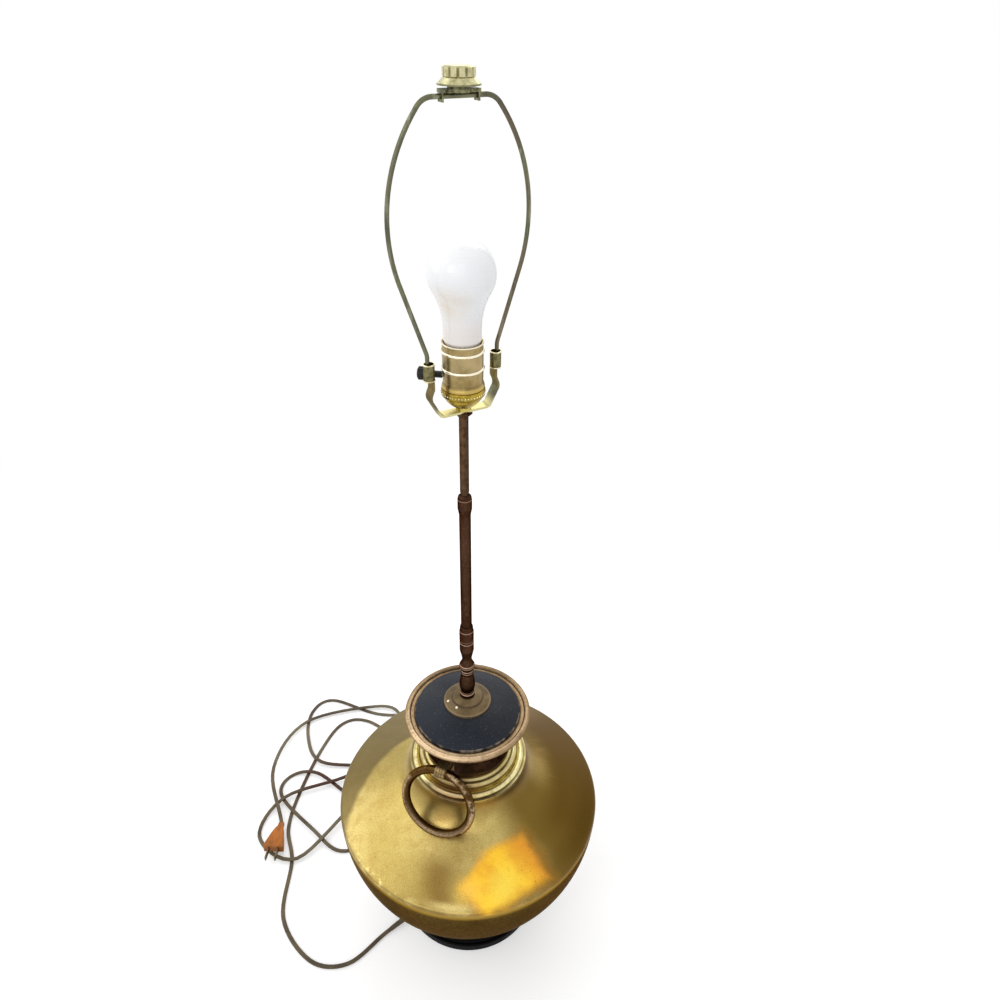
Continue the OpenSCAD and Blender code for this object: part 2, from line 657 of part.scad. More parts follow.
// Socket
cap_z = saddle_z + saddle_t;
cap_wall = 0.9;
cap_neck_r = 6.3;
shell_seat = cap_z + cap_h - 5;
shell_top = shell_seat + shell_h;
shell_bore_r = shell_r - shell_t;
switch_z = saddle_z + switch_up;
neck_slot = 3.2;
liner_t = 0.6;
liner_r = shell_bore_r - nest_gap;
body_r = liner_r - liner_t - nest_gap;
body_top = switch_z + 3.6;
screw_h = 23.4;
screw_t = 0.5;
cap_bowl = spline([[8, 3.6], [11.5, 6.2], [14.6, 9.6], [shell_r + 0.3, cap_h - 6]], 4);

module socket_cap() color("#a67c2e") translate([0, 0, cap_z]) difference() {
  turned(concat(
    [[pipe_hole, 0], [cap_neck_r, 0], [cap_neck_r, 3]],
    cap_bowl,
    [[cap_edge_r - 0.4, cap_h - 6], [cap_edge_r, cap_h - 5.4], [cap_edge_r, cap_h - 0.8],
      [cap_edge_r - 0.6, cap_h], [shell_r + nest_gap, cap_h], [shell_r + nest_gap, cap_h - 5],
      [shell_bore_r - 0.6, cap_h - 5]],
    reversed([for (p = cap_bowl) if (p[0] < shell_r) p + [-cap_wall, cap_wall]]),
    [[pipe_hole, 5]]));
  toward(set_azimuth, set_z) radial(set_r + turn_gap, 2, cap_neck_r + over);
}

set_azimuth = switch_azimuth - 90;
set_z = 1.5;
set_r = 1.1;
module cap_set_screw() color("#8f8f88") translate([0, 0, cap_z])
  toward(set_azimuth, set_z) radial(set_r, pipe_r + 0.1, cap_neck_r + 1.6);

function ring_bead(r, z) = arc([r, z], shell_bead, -80, 80, 8);

module switch_slot(h) toward(switch_azimuth) {
  translate([0, 0, switch_z]) radial(neck_slot, shell_r / 2, shell_r + 3);
  translate([shell_r / 2, -neck_slot, switch_z - h]) cube([shell_r, 2 * neck_slot, h]);
}

module socket_shell() color("#c79a3c") difference() {
  turned(concat(
    [[shell_bore_r, shell_seat], [shell_r, shell_seat], [shell_r, shell_seat + 5.4],
      [shell_r + 1.2, shell_seat + 6.2], [shell_r + 1.2, shell_seat + 7.4], [shell_r, shell_seat + 11]],
    ring_bead(shell_r, shell_top - 22.1),
    ring_bead(shell_r, shell_top - 7.6),
    [[shell_r, shell_top - 1.6], [shell_r + 0.7, shell_top - 1], [shell_r + 0.7, shell_top - 0.3],
      [shell_r + 0.4, shell_top], [shell_bore_r, shell_top]]));
  switch_slot(switch_z - shell_seat + over);
}

module socket_liner() color("#b9a98a") difference() {
  translate([0, 0, shell_seat + 0.3]) tube(liner_r, liner_r - liner_t, shell_h - 2.5);
  switch_slot(switch_z - shell_seat + over);
}

terminal_z = switch_z - 9;
module socket_body() color("#20201e") difference() {
  turned([
    [0, pipe_top + 3], [body_r - 6, pipe_top + 3], [body_r - 1, shell_seat + 0.5], [body_r, shell_seat + 2],
    [body_r, body_top], [0, body_top]]);
  toward(switch_azimuth, switch_z) radial(shaft_r + turn_gap, 3.5, body_r + over);
  for (side = [-90, 90]) toward(switch_azimuth + side, terminal_z) {
    radial(3, body_r - 3.5, body_r + over);
    radial(1.5, body_r - 8, body_r - 3);
  }
}

module terminal_screws() color("#c9a24c") for (side = [-90, 90]) toward(switch_azimuth + side, terminal_z) {
  radial(1.45, body_r - 7.5, body_r - 3.5);
  radial(2.8, body_r - 3.5, body_r - 2);
}

module screw_shell() color("#b98f3a") translate([0, 0, body_top])
  tube(screw_bore_r + screw_t, screw_bore_r, screw_h);

contact_t = 0.8;
module centre_contact() color("#cfae5c") translate([0, 0, body_top]) cylinder(h = contact_t, r = 4.5);

// Switch: a shaft with a smooth neck and a ribbed grip
knob_from = shell_r + 0.8;
grip_from = knob_from + 8;
rib_r = 0.45;
module switch_shaft() color("#9a9a92") toward(switch_azimuth, switch_z)
  radial(shaft_r, 4, grip_from + grip_l - 3);

module switch_knob() color("#121212") toward(switch_azimuth, switch_z) difference() {
  union() {
    radial(2.8, knob_from, grip_from);
    translate([grip_from, 0, 0]) rotate([0, 90, 0]) {
      cylinder(h = 1.2, r1 = grip_r - 1.4, r2 = grip_r - rib_r);
      translate([0, 0, 1.2]) linear_extrude(grip_l - 2) {
        circle(grip_r - rib_r);
        for (i = [0 : grip_ribs - 1]) rotate(360 * i / grip_ribs)
          translate([grip_r - rib_r, 0]) circle(rib_r, $fn = 24);
      }
      translate([0, 0, grip_l - 0.8]) cylinder(h = 0.8, r1 = grip_r - rib_r, r2 = grip_r - 1.4);
    }
  }
  radial(shaft_r + turn_gap / 2, knob_from - over, grip_from + grip_l - 3 + nest_gap);
}

// Bulb
bulb_cap_r = screw_bore_r - turn_gap * 2;
contact_drop = 1.2;
bulb_z = body_top + contact_t + lift_gap + contact_drop;
glass_z = bulb_z + bulb_cap_h;
globe_centre = [0, glass_z + globe_up];
neck_bend_z = glass_z + 13.5;
neck_up = globe_centre[1] - neck_bend_z;
neck_curve = (pow(bulb_neck_r, 2) + pow(neck_up, 2) - pow(globe_r, 2)) / (2 * (globe_r - bulb_neck_r));
neck_centre = [bulb_neck_r + neck_curve, neck_bend_z];
neck_angle = atan2(neck_up, neck_centre[0]);
root_r = bulb_cap_r - 0.9;

// The glass's skin, drawn in by a depth, from its open root up to the top of the globe
function glass_skin(depth) = concat(
  [[root_r - depth, bulb_z + 6], [root_r - depth, glass_z + 0.2], [bulb_neck_r - 0.9 - depth, glass_z + 2.4],
    [bulb_neck_r - depth, glass_z + 5]],
  arc(neck_centre, neck_curve + depth, 180, 180 - neck_angle, 10),
  arc(globe_centre, globe_r - depth, -neck_angle, 90, 20));

module bulb_glass() color("#f1efe9") turned(concat(glass_skin(0), reversed(glass_skin(glass_t))));

module bulb_cap() color("#c9c4b4") turned([
  [3.6, bulb_z], [9.5, bulb_z], [bulb_cap_r, bulb_z + 3], [bulb_cap_r, glass_z], [root_r + nest_gap, glass_z],
  [root_r + nest_gap, bulb_z + 3.6], [9.2, bulb_z + 0.8], [3.6, bulb_z + 0.8]]);

module bulb_contact() color("#b9b9b4") {
  translate([0, 0, bulb_z - contact_drop]) cylinder(h = contact_drop, r = 4.6);
  translate([0, 0, bulb_z]) cylinder(h = 2, r = 3.6 - turn_gap);
}

stem_z = bulb_z + 6;
stem_h = 40;
stem_flare_r = root_r - glass_t - nest_gap;
module bulb_stem() color("#dfe6e6") translate([0, 0, stem_z]) turned([
  [0, 0], [stem_flare_r, 0], [stem_flare_r, 1], [4.5, 6], [3, 12], [2.6, stem_h], [0, stem_h]]);

lead_r = 0.4;
filament_r = 9;
lead_spread = 25;
lead_l = 18;
lead_rise = lead_r * sin(lead_spread) + 0.02;
module bulb_filament() color("#8c8c8c") translate([0, 0, stem_z + stem_h + lead_rise]) {
  for (side = [-1, 1]) translate([side * 1.6, 0, 0])
    rotate([0, side * lead_spread, 0]) cylinder(h = lead_l, r = lead_r);
  translate([0, 0, lead_l * cos(lead_spread)]) rotate([90, 0, 0])
    rotate_extrude(angle = 180) translate([filament_r, 0]) circle(lead_r, $fn = 24);
}

// Cord: from the bushing through the plinth and up the pipe inside, and loose on the table outside
inner_r = 2.6;
inner_bend = pipe_foot - cord_hole_z;
cord_start = plinth_r + bushing_flange_t;
module inner_cord() color("#4c4520") toward(cord_azimuth, cord_hole_z) {
  radial(inner_r, inner_bend, cord_start);
  translate([inner_bend, 0, inner_bend]) rotate([90, 0, 0]) rotate([0, 0, 180])
    rotate_extrude(angle = 90) translate([inner_bend, 0]) circle(inner_r);
  translate([0, 0, inner_bend]) cylinder(h = pipe_top + 2.5 - pipe_foot, r = inner_r);
}

// The free cord's route on the table, at the height of its middle: up and over where it crosses itself
cord_start_at = [cord_start * cos(cord_azimuth), cord_start * sin(cord_azimuth), cord_hole_z];
cord_route = [
  cord_start_at, [-105, -68, 2], [-145, -104, 1.6], [-192, -101, 1.5], [-237, -50, 1.5], [-244, 27, 1.5],
  [-260, 75, 1.5], [-258, 129, 1.5], [-241, 211, 1.5], [-217, 263, 1.5], [-176, 269, 1.5],
  [-105, 225, 1.5], [-72, 244, 1.5], [-86, 279, 1.5], [-165, 285, 1.5], [-241, 312, 1.5], [-270, 288, 1.5],
  [-267, 236, 1.8], [-236, 187, 4.7], [-153, 180, 1.7], [-139, 145, 1.9], [-171, 125, 1.7],
  [-237, 166, 5.2], [-277, 162, 1.6], [-282, 127, 3.2], [-224, 72, 5.7], [-180, 43, 1.6], [-128, 65, 2.6],
  [-127, 105, 1.9], [-167, 113, 10.5], [-237, 29, 5.1], [-298, 63, 1.5], [-275, 123, 6.7],
  [-185, 165, 6.8], [-135, 234, 4.5], [-128, 283, 4.5], [-168, 298, 4.6], [-275, 263, 4.7],
  [-304, 171, 10.4], [-270, 80, 7]
];
cord_steps = 2;
cord_path = spline(cord_route, cord_steps);

// Eight corners round one station of the flat cord, across its heading
cord_flat = cord_w / 2 - 0.8;
cord_section = [
  [cord_w / 2, 0.6], [cord_flat, cord_t / 2], [-cord_flat, cord_t / 2], [-cord_w / 2, 0.6],
  [-cord_w / 2, -0.6], [-cord_flat, -cord_t / 2], [cord_flat, -cord_t / 2], [cord_w / 2, -0.6]];

function heading(path, i) = unit(path[min(i + 1, len(path) - 1)] - path[max(i - 1, 0)]);
function station(path, i) =
  let (ahead = heading(path, i))
  let (across = unit(cross([0, 0, 1], ahead)))
  let (up = cross(ahead, across))
  [for (p = cord_section) path[i] + p[0] * across + p[1] * up];

module swept(path) {
  sides = len(cord_section);
  rings = len(path);
  polyhedron(
    points = [for (i = [0 : rings - 1], p = station(path, i)) p],
    faces = concat(
      [[for (k = [0 : sides - 1]) k]],
      [for (i = [0 : rings - 2], k = [0 : sides - 1])
        let (a = i * sides + k, b = i * sides + (k + 1) % sides)
        each [[a, a + sides, b], [b, a + sides, b + sides]]],
      [[for (k = [sides - 1 : -1 : 0]) (rings - 1) * sides + k]]));
}

module free_cord() color("#5c5127") swept(cord_path);

// Plug: lies on the cord, its narrow end toward the cord's last stretch
plug_at = cord_route[len(cord_route) - 1];
plug_heading = -91;
plug_rise = 6;
plug_neck_w = 9;
plug_round = 3;

module plug_frame() translate(plug_at) rotate([0, 0, plug_heading]) rotate([0, -plug_rise, 0]) children();

module plug_body() color("#b5651d") plug_frame() difference() {
  union() {
    translate([8, 0, -plug_t / 2]) linear_extrude(plug_t) polygon(concat(
      [[0, plug_neck_w / 2], [0, -plug_neck_w / 2], [plug_l * 0.45, -plug_w * 0.34]],
      arc([plug_l - 8 - plug_round, -plug_w / 2 + plug_round], plug_round, -90, 0, 5),
      arc([plug_l - 8 - plug_round, plug_w / 2 - plug_round], plug_round, 0, 90, 5),
      [[plug_l * 0.45, plug_w * 0.34]]));
    translate([0, -plug_neck_w / 2 + 0.5, -2.6]) cube([9, plug_neck_w - 1, 5.2]);
  }
  blade_slots(0.05, plug_l - 8);
}

blade_w = 6.3;
blade_t = 1.5;
blade_gap = 12.7;
module blade_slots(gap, from) for (side = [-1, 1])
  translate([from, side * blade_gap / 2 - blade_t / 2 - gap, -blade_w / 2 - gap])
    cube([plug_l + blade_l - from, blade_t + 2 * gap, blade_w + 2 * gap]);

module plug_blades() color("#c9b26a") plug_frame() difference() {
  blade_slots(0, plug_l - 7.9);
  translate([plug_l + blade_l - 4, plug_w, 0]) rotate([90, 0, 0]) cylinder(h = 2 * plug_w, r = 1.6);
}

base_felt();
base_plinth();
cord_bushing();
urn_bowl();
urn_shoulder();
neck_moulding();
urn_neck();
neck_band();
rim_ring();
lid_disc();
handle_bracket_front();
handle_bracket_rear();
bracket_rivets();
ring_handle_front();
ring_handle_rear();
canopy();
column_baluster();
column_tube();
column_coupling();
lamp_pipe();
pipe_nut();
pipe_washer();
saddle_locknut();
harp_saddle();
harp_wire();
harp_sleeve_left();
harp_sleeve_right();
harp_plate();
shade_stud();
finial();
socket_cap();
cap_set_screw();
socket_shell();
socket_liner();
socket_body();
screw_shell();
centre_contact();
terminal_screws();
switch_shaft();
switch_knob();
bulb_glass();
bulb_cap();
bulb_contact();
bulb_stem();
bulb_filament();
inner_cord();
free_cord();
plug_body();
plug_blades();
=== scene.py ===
import math

import bpy
from mathutils import Matrix, Vector


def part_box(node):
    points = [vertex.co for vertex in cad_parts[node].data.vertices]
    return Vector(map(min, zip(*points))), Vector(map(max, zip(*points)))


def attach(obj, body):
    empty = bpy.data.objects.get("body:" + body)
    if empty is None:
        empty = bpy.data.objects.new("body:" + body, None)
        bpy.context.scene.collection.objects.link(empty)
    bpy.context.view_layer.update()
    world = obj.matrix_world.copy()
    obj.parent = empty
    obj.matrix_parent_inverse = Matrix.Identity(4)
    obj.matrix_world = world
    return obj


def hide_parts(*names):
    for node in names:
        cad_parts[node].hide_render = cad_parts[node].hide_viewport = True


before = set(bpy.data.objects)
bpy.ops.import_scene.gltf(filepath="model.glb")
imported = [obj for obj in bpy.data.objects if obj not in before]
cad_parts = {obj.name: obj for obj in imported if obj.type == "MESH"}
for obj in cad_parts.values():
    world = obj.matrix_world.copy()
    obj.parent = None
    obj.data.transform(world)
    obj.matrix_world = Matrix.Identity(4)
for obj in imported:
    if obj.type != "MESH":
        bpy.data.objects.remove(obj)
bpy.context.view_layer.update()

MM = 0.001


# Helpers for edit mode and modifiers
def pick_nothing():
    bpy.ops.object.select_all(action="DESELECT")


def pick(piece):
    pick_nothing()
    piece.select_set(True)
    bpy.context.view_layer.objects.active = piece


def named(name):
    piece = bpy.context.object
    piece.name = name
    piece.data.name = name
    return piece


def settle(piece):
    """Puts a piece's place, turn and scale into its mesh."""
    pick(piece)
    bpy.ops.object.transform_apply(location=True, rotation=True, scale=True)
    return piece


def choose(piece, mode, test):
    """Selects a mesh's faces, edges or vertices by a test on their middle and, for faces, their normal."""
    pick(piece)
    bpy.ops.object.mode_set(mode="EDIT")
    bpy.ops.mesh.select_mode(type=mode)
    bpy.ops.mesh.select_all(action="DESELECT")
    bpy.ops.object.mode_set(mode="OBJECT")
    mesh = piece.data
    if mode == "FACE":
        for face in mesh.polygons:
            face.select = test(face.center, face.normal)
    elif mode == "EDGE":
        for edge in mesh.edges:
            a, b = (mesh.vertices[i].co for i in edge.vertices)
            edge.select = test((a + b) / 2, (b - a).normalized())
    else:
        for vertex in mesh.vertices:
            vertex.select = test(vertex.co, None)
    bpy.ops.object.mode_set(mode="EDIT")


def leave_edit():
    bpy.ops.object.mode_set(mode="OBJECT")


def finish_modifier(piece, kind, **settings):
    pick(piece)
    modifier = piece.modifiers.new(kind.lower(), kind)
    for key, value in settings.items():
        setattr(modifier, key, value)
    bpy.ops.object.modifier_apply(modifier=modifier.name)


def smooth(piece, angle=40):
    pick(piece)
    bpy.ops.object.shade_smooth_by_angle(angle=math.radians(angle), keep_sharp_edges=False)


def catmull(stations, steps):
    """The smooth curve through the stations, the same as the solid's."""
    ends = [2 * stations[0] - stations[1]] + stations + [2 * stations[-1] - stations[-2]]
    line = []
    for i in range(len(stations) - 1):
        a, b, c, d = ends[i:i + 4]
        for k in range(steps):
            t = k / steps
            line.append(0.5 * (2 * b + (c - a) * t + (2 * a - 5 * b + 4 * c - d) * t * t
                               + (3 * b - 3 * c + d - a) * t * t * t))
    return line + [stations[-1]]


# The camera, where the photographer stood
def place_camera():
    data = bpy.data.cameras.new("camera")
    data.sensor_width = 36
    data.lens = 27.72
    data.clip_start, data.clip_end = 0.01, 50
    camera = bpy.data.objects.new("camera", data)
    bpy.context.scene.collection.objects.link(camera)
    camera.matrix_world = (Matrix.Translation((0.0315, -0.573, 0.996))
                           @ Matrix.Rotation(math.radians(90 - 33.56), 4, "X")
                           @ Matrix.Rotation(math.radians(0.95), 4, "Z"))
    bpy.context.scene.camera = camera


# The flat cord, its relief and its plug
ROUTE = [
    (-75, -45, 6.4), (-105, -68, 2), (-145, -104, 1.6), (-192, -101, 1.5), (-237, -50, 1.5),
    (-244, 27, 1.5), (-260, 75, 1.5), (-258, 129, 1.5), (-241, 211, 1.5), (-217, 263, 1.5),
    (-176, 269, 1.5), (-105, 225, 1.5), (-72, 244, 1.5), (-86, 279, 1.5), (-165, 285, 1.5),
    (-241, 312, 1.5), (-270, 288, 1.5), (-267, 236, 1.8), (-236, 187, 4.7), (-153, 180, 1.7),
    (-139, 145, 1.9), (-171, 125, 1.7), (-237, 166, 5.2), (-277, 162, 1.6), (-282, 127, 3.2),
    (-224, 72, 5.7), (-180, 43, 1.6), (-128, 65, 2.6), (-127, 105, 1.9), (-167, 113, 10.5),
    (-237, 29, 5.1), (-298, 63, 1.5), (-275, 123, 6.7), (-185, 165, 6.8), (-135, 234, 4.5),
    (-128, 283, 4.5), (-168, 298, 4.6), (-275, 263, 4.7), (-304, 171, 10.4), (-270, 80, 7)]
PLUG_HEADING = -91
PLUG_RISE = 6
CORD_WIDTH = 5.2


def cord_line(steps):
    return catmull([Vector(p) * MM for p in ROUTE], steps)


def flat_profile():
    """The section of a flat twin cord: two round cores joined by a thinner web."""
    core = CORD_WIDTH / 4
    points = []
    for side in (1, -1):
        for k in range(9):
            a = math.radians(-120 + 30 * k)
            points.append((side * core * (1 + math.cos(a)) * MM, side * core * math.sin(a) * MM))
    data = bpy.data.curves.new("cord_profile", "CURVE")
    data.dimensions = "2D"
    spline = data.splines.new("POLY")
    spline.points.add(len(points) - 1)
    for point, (x, y) in zip(spline.points, points):
        point.co = (x, y, 0, 1)
    spline.use_cyclic_u = True
    profile = bpy.data.objects.new("cord_profile", data)
    bpy.context.scene.collection.objects.link(profile)
    return profile


def swept_piece(name, line, radii=None, profile=None, depth=0.0):
    """A mesh swept along a line, from a profile or as a round of changing radius."""
    data = bpy.data.curves.new(name, "CURVE")
    data.dimensions = "3D"
    data.twist_mode = "Z_UP"
    data.use_fill_caps = True
    if profile is None:
        data.bevel_depth = depth
        data.bevel_resolution = 5
    else:
        data.bevel_mode = "OBJECT"
        data.bevel_object = profile
    spline = data.splines.new("POLY")
    spline.points.add(len(line) - 1)
    for i, point in enumerate(line):
        spline.points[i].co = (*point, 1)
        spline.points[i].radius = radii[i] if radii else 1
    curve = bpy.data.objects.new(name, data)
    bpy.context.scene.collection.objects.link(curve)
    pick(curve)
    bpy.ops.object.convert(target="MESH")
    piece = named(name)
    bpy.ops.object.mode_set(mode="EDIT")
    bpy.ops.mesh.select_all(action="SELECT")
    bpy.ops.mesh.remove_doubles(threshold=0.00001)
    bpy.ops.mesh.normals_make_consistent(inside=False)
    leave_edit()
    smooth(piece, 50)
    return piece


def make_cord():
    profile = flat_profile()
    line = cord_line(8)
    cord = swept_piece("flat_cord", line, profile=profile)
    bpy.data.objects.remove(profile)
    return cord, line


def make_cord_relief():
    """A tapered sleeve that guards the cord where it leaves the plinth."""
    line = cord_line(40)[:32]
    radii = []
    for i in range(len(line)):
        taper = 3.5 - 0.75 * i / (len(line) - 1)
        radii.append(taper + (0.2 if i % 6 in (2, 3) and 3 < i < 29 else 0))
    return swept_piece("cord_relief", line, radii=radii, depth=MM)


def plug_frame():
    return (Matrix.Translation(Vector(ROUTE[-1]) * MM)
            @ Matrix.Rotation(math.radians(PLUG_HEADING), 4, "Z")
            @ Matrix.Rotation(math.radians(-PLUG_RISE), 4, "Y"))


def make_plug():
    """A moulded plug: a neck on the cord that widens to a broad, rounded body."""
    pick_nothing()
    wide, thick = 7.5, 5.6
    bpy.ops.mesh.primitive_cube_add(size=1, location=(MM, 0, 0), scale=(2 * MM, wide * MM, thick * MM))
    plug = settle(named("plug_shell"))
    stages = [(5, 7.8, 5.8), (2, 11, 8.6), (6, 14, 10.6), (9, 19.4, 12), (10, 24.6, 12), (6, 27.4, 11.8), (2, 26.6, 11)]
    for length, next_wide, next_thick in stages:
        reach = max(v.co.x for v in plug.data.vertices)
        choose(plug, "FACE", lambda middle, normal: normal.x > 0.9 and middle.x > reach - 0.1 * MM)
        bpy.ops.mesh.extrude_region_move(TRANSFORM_OT_translate={"value": (length * MM, 0, 0)})
        bpy.ops.transform.resize(value=(1, next_wide / wide, next_thick / thick),
                                 center_override=(reach + length * MM, 0, 0))
        leave_edit()
        wide, thick = next_wide, next_thick
    reach = max(v.co.x for v in plug.data.vertices)
    choose(plug, "FACE", lambda middle, normal: normal.x > 0.9 and middle.x > reach - 0.1 * MM)
    bpy.ops.mesh.inset(thickness=1.6 * MM, depth=0)
    bpy.ops.mesh.inset(thickness=0.5 * MM, depth=-0.5 * MM)
    leave_edit()
    finish_modifier(plug, "BEVEL", width=1.1 * MM, segments=2, limit_method="ANGLE", angle_limit=math.radians(40))
    finish_modifier(plug, "SUBSURF", levels=2, render_levels=2)
    plug.data.transform(plug_frame())
    smooth(plug, 60)
    return plug


# The thread on the pipe, the beads on the socket's cap and the lips of the harp's sleeves
def make_ring(name, radius, wire, height, turns=1, pitch=0.0, sides=6, steps=48):
    """A small wire bent round the lamp's axis, closed or screwed upwards."""
    pick_nothing()
    bpy.ops.mesh.primitive_circle_add(vertices=sides, radius=wire * MM, location=(radius * MM, 0, height * MM),
                                      rotation=(math.radians(90), 0, 0))
    ring = settle(named(name))
    finish_modifier(ring, "SCREW", axis="Z", angle=2 * math.pi, screw_offset=pitch * MM, iterations=turns,
                    steps=steps, render_steps=steps, use_merge_vertices=True, merge_threshold=0.000005)
    choose(ring, "FACE", lambda middle, normal: True)
    bpy.ops.mesh.remove_doubles(threshold=0.000005)
    bpy.ops.mesh.fill_holes(sides=sides)
    bpy.ops.mesh.normals_make_consistent(inside=False)
    leave_edit()
    smooth(ring, 50)
    return ring


def make_pipe_thread():
    """The thread on the bare end of the pipe: one ridge screwed up the pipe."""
    pitch, low, high = 1.15, 624, 700
    return make_ring("pipe_thread", 3.8, 0.42, low, turns=int((high - low) / pitch), pitch=pitch, sides=3, steps=20)


def make_sleeve_lips(side, name):
    """The rolled lips at the two ends of a harp sleeve."""
    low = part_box(name)[0]
    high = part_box(name)[1]
    middle = (low + high) / 2
    lips = []
    for height in (low.z + 0.0005, high.z - 0.0005):
        lip = make_ring("sleeve_lip", 4.4, 0.6, height / MM, sides=8)
        lip.data.transform(Matrix.Translation((middle.x, middle.y, 0)))
        lips.append(lip)
    return joined(lips, "sleeve_lips_" + side)


def make_cap_beads():
    """The row of small pierced beads round the edge of the socket's cap."""
    pick_nothing()
    bpy.ops.mesh.primitive_uv_sphere_add(segments=8, ring_count=6, radius=0.62 * MM, location=(18 * MM, 0, 722.9 * MM))
    bead = settle(named("cap_bead"))
    choose(bead, "FACE", lambda middle, normal: normal.x < -0.3)
    bpy.ops.transform.resize(value=(0.4, 1, 1), center_override=(17.8 * MM, 0, 722.9 * MM))
    leave_edit()
    beads = [bead]
    count = 44
    for i in range(1, count):
        copy = bead.copy()
        copy.data = bead.data.copy()
        copy.data.transform(Matrix.Rotation(2 * math.pi * i / count, 4, "Z"))
        bpy.context.scene.collection.objects.link(copy)
        beads.append(copy)
    row = joined(beads, "cap_beads")
    smooth(row, 60)
    return row


def joined(pieces, name):
    pick_nothing()
    for piece in pieces:
        piece.select_set(True)
    bpy.context.view_layer.objects.active = pieces[0]
    bpy.ops.object.join()
    return named(name)


# Shader maths as Python sums
def tint(code):
    """A colour code as the renderer's linear colour."""
    parts = [int(code[i:i + 2], 16) / 255 for i in (0, 2, 4)]
    return tuple(c / 12.92 if c < 0.04045 else ((c + 0.055) / 1.055) ** 2.4 for c in parts) + (1,)


class Tone:
    """A shader socket that takes part in Python sums."""

    def __init__(self, finish, socket):
        self.finish, self.socket = finish, socket

    def maths(self, operation, *values):
        return self.finish.node("ShaderNodeMath", {"operation": operation}, dict(enumerate(values)))

    def __add__(self, other):
        return self.maths("ADD", self, other)

    __radd__ = __add__

    def __mul__(self, other):
        return self.maths("MULTIPLY", self, other)

    __rmul__ = __mul__

    def __sub__(self, other):
        return self.maths("SUBTRACT", self, other)

    def __rsub__(self, other):
        return self.maths("SUBTRACT", other, self)

    def __truediv__(self, other):
        return self.maths("DIVIDE", self, other)

    def __pow__(self, other):
        return self.maths("POWER", self, other)

    def sine(self):
        return self.maths("SINE", self)

    def step(self, low, high):
        """0 below low, 1 above high and smooth between them; turned round if low is above high."""
        span = {"Value": self, "From Min": min(low, high), "From Max": max(low, high),
                "To Min": float(low > high), "To Max": float(low < high)}
        return self.finish.node("ShaderNodeMapRange", {"interpolation_type": "SMOOTHSTEP"}, span)

    def near(self, middle, reach):
        """1 at the middle, falling smoothly to 0 a reach away."""
        away = self.maths("ABSOLUTE", self - middle)
        return away.step(reach, 0)


class Finish:
    """One material: a surface shader and the nodes that feed it."""

    def __init__(self, name):
        self.material = bpy.data.materials.new(name)
        self.material.use_nodes = True
        self.tree = self.material.node_tree
        self.tree.nodes.clear()
        self.shader = self.tree.nodes.new("ShaderNodeBsdfPrincipled")
        output = self.tree.nodes.new("ShaderNodeOutputMaterial")
        self.tree.links.new(self.shader.outputs[0], output.inputs[0])
        self.place = self.node("ShaderNodeTexCoord", output="Object")

    def node(self, kind, settings=None, values=None, output=0):
        node = self.tree.nodes.new(kind)
        for key, value in (settings or {}).items():
            setattr(node, key, value)
        for key, value in (values or {}).items():
            if isinstance(value, Tone):
                self.tree.links.new(value.socket, node.inputs[key])
            else:
                node.inputs[key].default_value = value
        return Tone(self, node.outputs[output])

    def axis(self, letter):
        return self.node("ShaderNodeSeparateXYZ", values={0: self.place}, output=letter)

    def flat(self):
        return self.node("ShaderNodeVectorMath", {"operation": "MULTIPLY"}, {0: self.place, 1: (1, 1, 0)})

    def radius(self):
        return self.node("ShaderNodeVectorMath", {"operation": "LENGTH"}, {0: self.flat()}, "Value")

    def gap(self, point):
        """How far each place is from a point."""
        return self.node("ShaderNodeVectorMath", {"operation": "DISTANCE"}, {0: self.place, 1: point}, "Value")

    def round_angle(self):
        """The angle round the lamp in degrees: 0 at the front, positive to the right, 180 at the back."""
        ahead = self.axis("Y") * -1.0
        return ahead.finish.node("ShaderNodeMath", {"operation": "ARCTAN2"}, {0: self.axis("X"), 1: ahead}) * 57.29578

    def rays(self, around, outward):
        """Places for a pattern drawn out along the rays from the lamp's axis."""
        bearing = self.node("ShaderNodeVectorMath", {"operation": "NORMALIZE"}, {0: self.flat()})
        spread = self.node("ShaderNodeVectorMath", {"operation": "SCALE"}, {0: bearing, "Scale": around})
        reach = self.node("ShaderNodeCombineXYZ", values={2: self.radius() * outward})
        return self.node("ShaderNodeVectorMath", {"operation": "ADD"}, {0: spread, 1: reach})

    def stretched(self, x, y, z):
        return self.node("ShaderNodeVectorMath", {"operation": "MULTIPLY"}, {0: self.place, 1: (x, y, z)})

    def noise(self, scale, detail=3.0, rough=0.5, place=None, bend=0.0):
        values = {"Vector": place or self.place, "Scale": scale, "Detail": detail, "Roughness": rough, "Distortion": bend}
        return self.node("ShaderNodeTexNoise", values=values)

    def cells(self, scale, place=None, jitter=1.0):
        values = {"Vector": place or self.place, "Scale": scale, "Randomness": jitter}
        return self.node("ShaderNodeTexVoronoi", values=values)

    def blend(self, factor, a, b, mode="MIX"):
        settings = {"data_type": "RGBA", "blend_type": mode}
        return self.node("ShaderNodeMix", settings, {0: factor, 6: a, 7: b}, 2)

    def bump(self, height, depth, strength=1.0):
        return self.node("ShaderNodeBump", values={"Height": height, "Distance": depth, "Strength": strength})

    def paint(self, **sockets):
        for key, value in sockets.items():
            target = self.shader.inputs[key.replace("_", " ").title().replace("Ior", "IOR")]
            if isinstance(value, Tone):
                self.tree.links.new(value.socket, target)
            else:
                target.default_value = value
        return self.material


# Finishes, one function for each
def felt_pad():
    f = Finish("felt pad")
    fibre = f.noise(2600, 2, 0.6, f.stretched(1, 1, 3))
    colour = f.blend(fibre, tint("1c1d1a"), tint("3a3b36"))
    return f.paint(base_color=colour, roughness=0.95, normal=f.bump(fibre, 0.0004))


